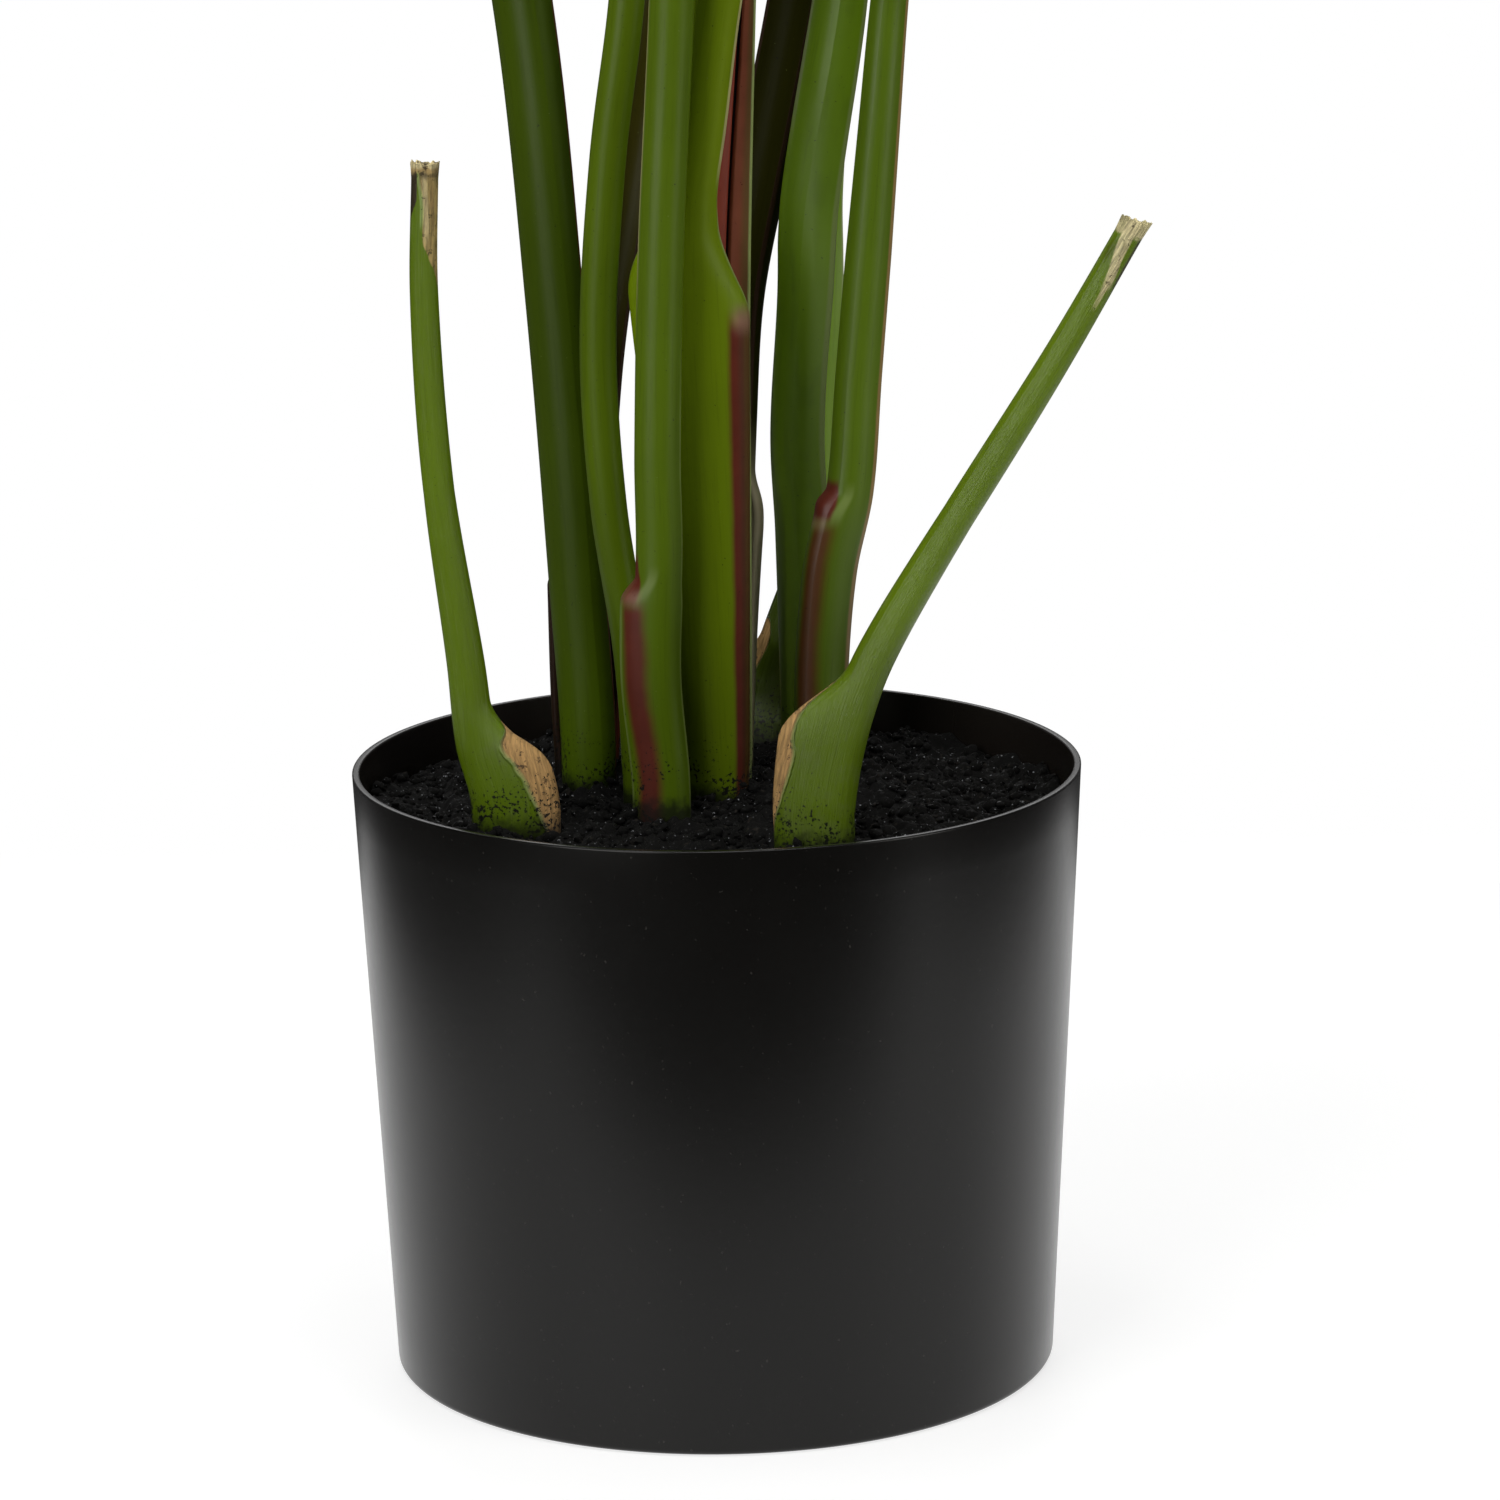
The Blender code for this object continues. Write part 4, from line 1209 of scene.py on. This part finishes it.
    def stations(self):
        """Distances along the axis at which the skin has a ring of points."""
        rings = self.steps(self.collar, min(self.stalk_end, LOW_STEP_LEVEL - ROOT_LEVEL), LOW_STEP)
        rings |= self.steps(max(rings), self.stalk_end, HIGH_STEP) | {0.0, self.stalk_end}
        if self.stem.sheath:
            low, high = (level - ROOT_LEVEL for level in self.stem.sheath[:2])
            low -= self.stem.sheath_drop + SHEATH_STEP_MARGIN
            rings |= self.steps(low, high + SHEATH_STEP_MARGIN, SHEATH_STEP)
        if self.stem.blade:
            rings |= self.steps(self.stalk_end, self.axis.length, BLADE_STEP)
            for place, _, _ in self.stem.tears:
                middle = self.stalk_end + self.blade_length * place
                gap = self.blade_length * TEAR_HALF_GAP
                rings = {ring for ring in rings if abs(ring - middle) > gap + BLADE_STEP / 2}
                rings |= {middle + gap * step for step in TEAR_STEPS}
        spaced = [0.0]
        for ring in sorted(rings):
            if ring - spaced[-1] > LEAST_STEP:
                spaced.append(ring)
        return spaced

    @staticmethod
    def steps(low, high, step):
        count = max(1, round((high - low) / step))
        return {mixed(low, high, i / count) for i in range(count + 1)}


def make_skin(stem):
    """A stem's closed skin, with what its finish reads.

    Its attribute skin holds (across, along, share across), the first two in millimetres. zone holds
    (inside, blade) as shares."""
    form = Form(stem)
    stations = form.stations()
    rings = [form.ring(distance) for distance in stations]

    def point_at(ring, side):
        return rings[ring][0][side][0]

    bm, keys = ring_skin(len(rings), 2 * len(SECTION), point_at, ("skin", "zone"))
    skin = bm.verts.layers.float_vector["skin"]
    zone = bm.verts.layers.float_vector["zone"]
    for vert, (ring, side) in keys.items():
        points, bladed = rings[ring]
        _, across, share, inside = points[side]
        vert[skin] = (across, stations[ring], share)
        vert[zone] = (inside, bladed, 0)
    caps = [face for face in bm.faces if len(face.verts) > 4]
    caps.sort(key=lambda face: face.calc_center_median().z)
    if not stem.blade:
        bmesh.ops.inset_region(bm, faces=caps[1:], thickness=CUT_INSET * MM, depth=-CUT_SUNKEN * MM)
    bmesh.ops.triangulate(bm, faces=caps)
    return bm


class StemFinish(Finish):
    """A stem's green and what lies over it.

    It knows how far across and along the stem a point is, its share of the way across to a margin, and its
    level."""

    def __init__(self, stem, settings):
        self.look = LOOKS[stem.name]
        super().__init__(stem.name + "_skin", self.look.gloss)
        self.settings = settings
        self.across, self.along, self.share = self.attribute("skin")
        self.level = self.parts(self.place)[2] / MM
        self.wander = self.noise(*WANDER) - 0.5

    def attribute(self, name):
        return self.parts(self.add("ShaderNodeAttribute", {"attribute_name": name}, output="Vector"))

    def streaks(self, across, along, detail, roughness):
        stretched = {0: self.across * across, 1: self.along * along}
        return self.noise(1, detail, roughness, at=self.add("ShaderNodeCombineXYZ", values=stretched))

    def lines(self, across, along, detail, roughness, low, high, strength):
        return self.fade(self.streaks(across, along, detail, roughness), low, high) * strength

    def green(self):
        """The stalk's green, with long faint fibres and specks of dust."""
        settings, look = self.settings, self.look
        green = blended(settings.stalk, settings.young, look.yellow)
        green = toned(blended(green, toned(settings.rust, 0.8), look.brown), look.tone)
        colour = self.vary(self.patches(*CLOUDS), green, *GREEN_TONES)
        colour = self.mix(self.lines(*STALK_LINES), colour, toned(green, 0.55))
        return self.mix(self.patches(*STALK_DUST), colour, toned(settings.margin, 0.7))

    def mark_mask(self, mark, level):
        """1 on a mark and 0 beside it, with an uneven outline."""
        across = self.share + self.wander * min(MARK_WANDER_MOST, MARK_WANDER * mark.soft)
        if mark.drift:
            low, high, shift = mark.drift
            across = across - self.fade(level, low, high) * shift
        blur = mark.soft * MARK_BLUR
        mask = self.fade(across, mark.left - mark.soft, mark.left + blur)
        mask = mask * self.fade(across, mark.right + mark.soft, mark.right - blur)
        mask = mask * self.fade(level, mark.low - mark.fade, mark.low + mark.fade)
        return mask * self.fade(level, mark.high + mark.fade, mark.high - mark.fade) * mark.strength

    def marked(self, colour, marks, level, streak, depth, cover=1.0, flecks=None):
        """The colour with each mark laid over it, streaked to a depth, and with dark flecks where given."""
        for mark in marks:
            stripe = self.vary(streak, getattr(self.settings, mark.colour), 1 - depth, 1 + depth)
            if flecks:
                stripe = self.mix(flecks, stripe, self.settings.bruise)
            colour = self.mix(self.mark_mask(mark, level) * cover, colour, stripe)
        return colour

    def painted_foot_light_and_shade(self, colour):
        """The colour, with the foot darker as painted shade near the soil, or lighter as painted light."""
        foot = self.look.foot
        scale = self.fade(self.level, *FOOT_SHADE_LEVELS) * (1 - foot) + foot
        return self.add("ShaderNodeVectorMath", {"operation": "SCALE"}, {0: colour, "Scale": scale})

    def soiled(self, colour):
        """The colour with fine crumbs of soil stuck to it, dense at the ground and sparse above, and a
        near-black band just above the soil.
        """
        near = self.fade(self.level, *DIRT_LEVELS) * self.patches(*DIRT_PATCHES)
        specks = self.fade(self.noise(*DIRT_SPECKS) + near, *DIRT_SPECK_FADE)
        # A near-black band just above the soil line, with a wandering top.
        film = self.fade(self.level + self.noise(*DIRT_EDGE) * SOIL_LINE_BAND_WANDER, *SOIL_LINE_BAND_LEVELS)
        return self.mix(specks.most(film * SOIL_LINE_BAND), colour, self.settings.dirt)


def leaf_finish(stem, settings):
    """The green stalk with its margins and marks, and the blade."""
    finish = StemFinish(stem, settings)
    inside, blade, _ = finish.attribute("zone")
    stalk = finish.green()
    if stem.slit:
        stalk = finish.mix(inside, stalk, slit_colour(finish, settings))
    edge = finish.fade(abs(finish.share), *MARGIN_SHARES)
    # On the stems in shadow at the back the edge colour is near-black, painted shade.
    stalk = finish.mix(edge * 0.85, stalk, getattr(settings, finish.look.edge))
    streak = finish.noise(*STREAKS)
    stalk = finish.marked(stalk, finish.look.marks, finish.level, streak, 0.25, 1.0 - inside * 0.5)
    # Painted shade darkens the foot near the soil; where look.foot is above 1 it is painted light instead.
    stalk = finish.soiled(finish.painted_foot_light_and_shade(stalk))
    finish.feed("Base Color", finish.mix(blade, stalk, blade_colour(finish, settings, inside)))
    roughness = settings.roughness - 0.03 + finish.noise(*SHEEN) * 0.06
    finish.feed("Roughness", roughness + blade * (0.06 - inside * 0.04))
    fibres = finish.streaks(*STALK_RIDGES) * 0.6 + finish.noise(*PORES) * 0.4
    veins = finish.streaks(*VEIN_RIDGES) * blade
    finish.feed("Normal", finish.bump(veins, *VEIN_RELIEF, finish.bump(fibres, *STALK_RELIEF)))
    return finish


def slit_colour(finish, settings):
    """The newest leaf's red inner face, raised as painted light, duller and olive towards one margin, with
    its slit painted near-black as shade.
    """
    streak = finish.noise(*STREAKS)
    # Both reds are raised above their settings as painted light, because the leaves in front shade this face.
    bright = finish.vary(streak, settings.maroon, *BRIGHT_FACE_PAINTED_LIGHT_TONES)
    dull = finish.vary(streak, settings.dull_red, *DULL_FACE_PAINTED_LIGHT_TONES)
    colour = finish.mix(finish.fade(finish.share, *BRIGHT_FACE_SHARES), dull, bright)
    colour = finish.mix(finish.fade(finish.share, *OLIVE_SHARES) * 0.7, colour, settings.olive)
    # Painted shade: the slit's groove is painted near-black.
    return finish.mix(finish.fade(abs(finish.share), *SLIT_SHADE_SHARES), colour, settings.slit)


def blade_colour(finish, settings, inside):
    """Upper side dark, underside lighter, the midrib pale, with fine veins from it to the margin."""
    # The blade takes a quarter of the stem's tone, and with it the painted light and shade in that tone.
    tone = 0.75 + 0.25 * finish.look.tone
    cloud = finish.patches(*BLADE_CLOUDS)
    upper = finish.vary(cloud, settings.blade, tone, 1.6 * tone)
    under = finish.vary(cloud, settings.underside, tone, 1.35 * tone)
    veins = finish.lines(*VEIN_LINES)
    pleats = (finish.along * (2 * math.pi / PLEAT_LENGTH)).sine() * 0.5 + 0.5
    colour = finish.mix(inside, under, upper)
    colour = finish.mix(veins + pleats * 0.12, colour, toned(settings.underside, 1.5))
    colour = finish.mix(finish.fade(abs(finish.share), *RIB_SHARES) * 0.8, colour, settings.rib)
    return finish.mix(finish.fade(abs(finish.share), *DRY_EDGE_SHARES) * 0.8, colour, settings.dry_edge)


def stub_finish(stem, settings):
    """Green and waxy, with a tan scar where a sheath came away and a dry, frayed cut end."""
    finish = StemFinish(stem, settings)
    wax = finish.patches(*WAX) * finish.fade(finish.level, *WAX_LEVELS)
    colour = finish.mix(wax, finish.green(), toned(settings.margin, 0.55))
    # Pale streaks: partly fibres, partly painted highlight for gloss streaks along the stub. The foot is then
    # darkened as painted shade.
    colour = finish.painted_foot_light_and_shade(finish.mix(finish.lines(*STUB_STREAKS_AND_SHEEN), colour, toned(settings.margin, 0.8)))
    fibres = finish.lines(*DRY_LINES)
    flecks = finish.patches(*FLECKS)
    below = Form(stem).axis.length - finish.along
    ragged = below + finish.noise(*RAGGED) * 3.0 - 1.5
    colour = finish.marked(colour, CUT_MARKS[stem.name], ragged, fibres, 0.55, flecks=flecks)
    scar, border = scar_masks(finish, SCARS[stem.name])
    tan = finish.mix(flecks, finish.vary(fibres, settings.scar, *SCAR_TONES), settings.bruise)
    colour = finish.mix(scar, colour, tan)
    colour = finish.mix(border * 0.4, colour, toned(settings.margin, 1.2))
    finish.feed("Base Color", finish.soiled(colour))
    dry = scar.most(finish.fade(ragged, 5, 3))
    finish.feed("Roughness", settings.roughness - 0.06 + dry * 0.45)
    ridge = finish.bump(border - scar, *SCAR_RELIEF)
    finish.feed("Normal", finish.bump(finish.streaks(*DRY_RIDGES), *DRY_RELIEF, ridge))
    return finish


def scar_masks(finish, scar):
    """The scar itself, and the raised border round it."""
    up = (finish.level - scar.level).most(0.0)
    down = (scar.level - finish.level).most(0.0)
    bound = up * up * scar.above + down * down * scar.below + scar.share
    wander = (finish.noise(*SCAR_WANDER) - 0.5) * SCAR_REACH
    beyond = finish.share * scar.side - bound + wander
    return finish.fade(beyond, *SCAR_EDGE), finish.fade(abs(beyond), *SCAR_BORDER)


def make_stems(stems, finish_for, settings):
    for stem in stems:
        finish = finish_for(stem, settings)
        piece = object_from(make_skin(stem), "fine_" + stem.name, finish, sharp_degrees=60)
        settle(piece, stem.name)


class PALM_OT_make_leaves(bpy.types.Operator):
    """Make the nine leaves, each with its sheath, stalk, midrib and blade"""

    bl_idname = "palm.make_leaves"
    bl_label = "Make Leaves"

    def execute(self, context):
        make_stems(LEAVES, leaf_finish, context.scene.palm_foliage)
        return {"FINISHED"}


class PALM_OT_make_stubs(bpy.types.Operator):
    """Make the three cut stubs"""

    bl_idname = "palm.make_stubs"
    bl_label = "Make Stubs"

    def execute(self, context):
        make_stems(STUBS, stub_finish, context.scene.palm_foliage)
        return {"FINISHED"}


# Stage


def make_floor(settings):
    """A pale floor that fades into the white surround away from the pot."""
    bm = bmesh.new()
    drop = Matrix.Translation((0, 0, -FLOOR_DROP))
    bmesh.ops.create_grid(bm, x_segments=1, y_segments=1, size=FLOOR_HALF_SIZE, matrix=drop)
    finish = Finish("pale_floor", settings.gloss)
    finish.feed("Base Color", finish.vary(finish.noise(*FLOOR_GRAIN), settings.floor, *FLOOR_TONES))
    x, y, _ = finish.parts(finish.place)
    shown = 1.0
    for toward, reach in zip((x, x * -1, y, y * -1), FLOOR_REACHES):
        shown = shown * finish.fade(toward, reach + FLOOR_FADE, reach - FLOOR_FADE)
    finish.feed("Alpha", shown)
    finish.shader.inputs["Emission Color"].default_value = (1, 1, 1, 1)
    finish.shader.inputs["Emission Strength"].default_value = settings.glow
    object_from(bm, "floor", finish, 30)


def make_world(settings):
    """White to look at. Its light on the plant is dim from the front and brighter from behind.

    Below the horizon the brighter half isn't mirrored, because there the floor would hide it."""
    world = bpy.data.worlds.new("studio")
    bpy.context.scene.world = world
    graph = Graph(world)
    toward = graph.parts(graph.add("ShaderNodeTexCoord", output="Generated"))
    mirrored = graph.add("ShaderNodeLightPath", output="Is Glossy Ray")
    below = graph.fade(toward[2], *BELOW_FADE)
    behind = graph.fade(toward[1], *BEHIND_FADE) * (1.0 - mirrored * below)
    strength = settings.surround + behind * (settings.backdrop - settings.surround)
    seen = graph.add("ShaderNodeLightPath", output="Is Camera Ray")
    background = graph.tree.nodes["Background"]
    background.inputs["Color"].default_value = (1, 1, 1, 1)
    graph.tree.links.new(strength.most(seen).socket, background.inputs["Strength"])


def make_light(name, power, bearing, distance, level, size, colour):
    """A soft box, turned to the plant."""
    data = bpy.data.lights.new(name, "AREA")
    data.shape = "RECTANGLE"
    data.size, data.size_y = size
    data.energy = power
    data.color = colour
    light = bpy.data.objects.new(name, data)
    bpy.context.scene.collection.objects.link(light)
    turn = math.radians(bearing - 90)
    light.location = (distance * math.cos(turn), distance * math.sin(turn), level)
    light.rotation_euler = (LIGHT_TARGET - light.location).to_track_quat("-Z", "Y").to_euler()
    light.visible_camera = False


def make_camera():
    data = bpy.data.cameras.new("camera")
    data.sensor_width = CAMERA_SENSOR
    data.lens = CAMERA_LENS
    camera = bpy.data.objects.new("camera", data)
    bpy.context.scene.collection.objects.link(camera)
    camera.location = CAMERA_PLACE
    upright = (CAMERA_TARGET - CAMERA_PLACE).to_track_quat("-Z", "Y").to_matrix().to_4x4()
    camera.rotation_euler = (upright @ Matrix.Rotation(CAMERA_ROLL, 4, "Z")).to_euler()
    bpy.context.scene.camera = camera


class PALM_OT_make_stage(bpy.types.Operator):
    """Make the floor, the lights and the camera"""

    bl_idname = "palm.make_stage"
    bl_label = "Make Stage"

    def execute(self, context):
        settings = context.scene.palm_stage
        make_floor(settings)
        make_world(settings)
        for name, light in LIGHTS.items():
            make_light(name, getattr(settings, name), *light)
        make_camera()
        context.scene.view_settings.view_transform = "Standard"
        return {"FINISHED"}


class PALM_PT_panel(bpy.types.Panel):
    """The palm's pieces and settings"""

    bl_idname = "PALM_PT_panel"
    bl_label = "Travelers Palm"
    bl_space_type = "VIEW_3D"
    bl_region_type = "UI"
    bl_category = "Palm"

    def draw(self, context):
        for operator in OPERATORS:
            self.layout.operator(operator.bl_idname)
        for name in SETTINGS:
            group = getattr(context.scene, name)
            box = self.layout.box()
            for key in group.__annotations__:
                box.prop(group, key)


OPERATORS = (PALM_OT_make_pot, PALM_OT_make_soil, PALM_OT_make_leaves, PALM_OT_make_stubs, PALM_OT_make_stage)
SETTINGS = {
    "palm_pot": PotSettings,
    "palm_soil": SoilSettings,
    "palm_foliage": FoliageSettings,
    "palm_stage": StageSettings,
}
CLASSES = (*SETTINGS.values(), *OPERATORS, PALM_PT_panel)


def register():
    for made in CLASSES:
        bpy.utils.register_class(made)
    for name, group in SETTINGS.items():
        setattr(bpy.types.Scene, name, PointerProperty(type=group))


def unregister():
    for name in SETTINGS:
        delattr(bpy.types.Scene, name)
    for made in reversed(CLASSES):
        bpy.utils.unregister_class(made)


def main():
    register()
    bpy.ops.palm.make_pot()
    bpy.ops.palm.make_soil()
    bpy.ops.palm.make_leaves()
    bpy.ops.palm.make_stubs()
    bpy.ops.palm.make_stage()


if __name__ == "__main__":
    main()
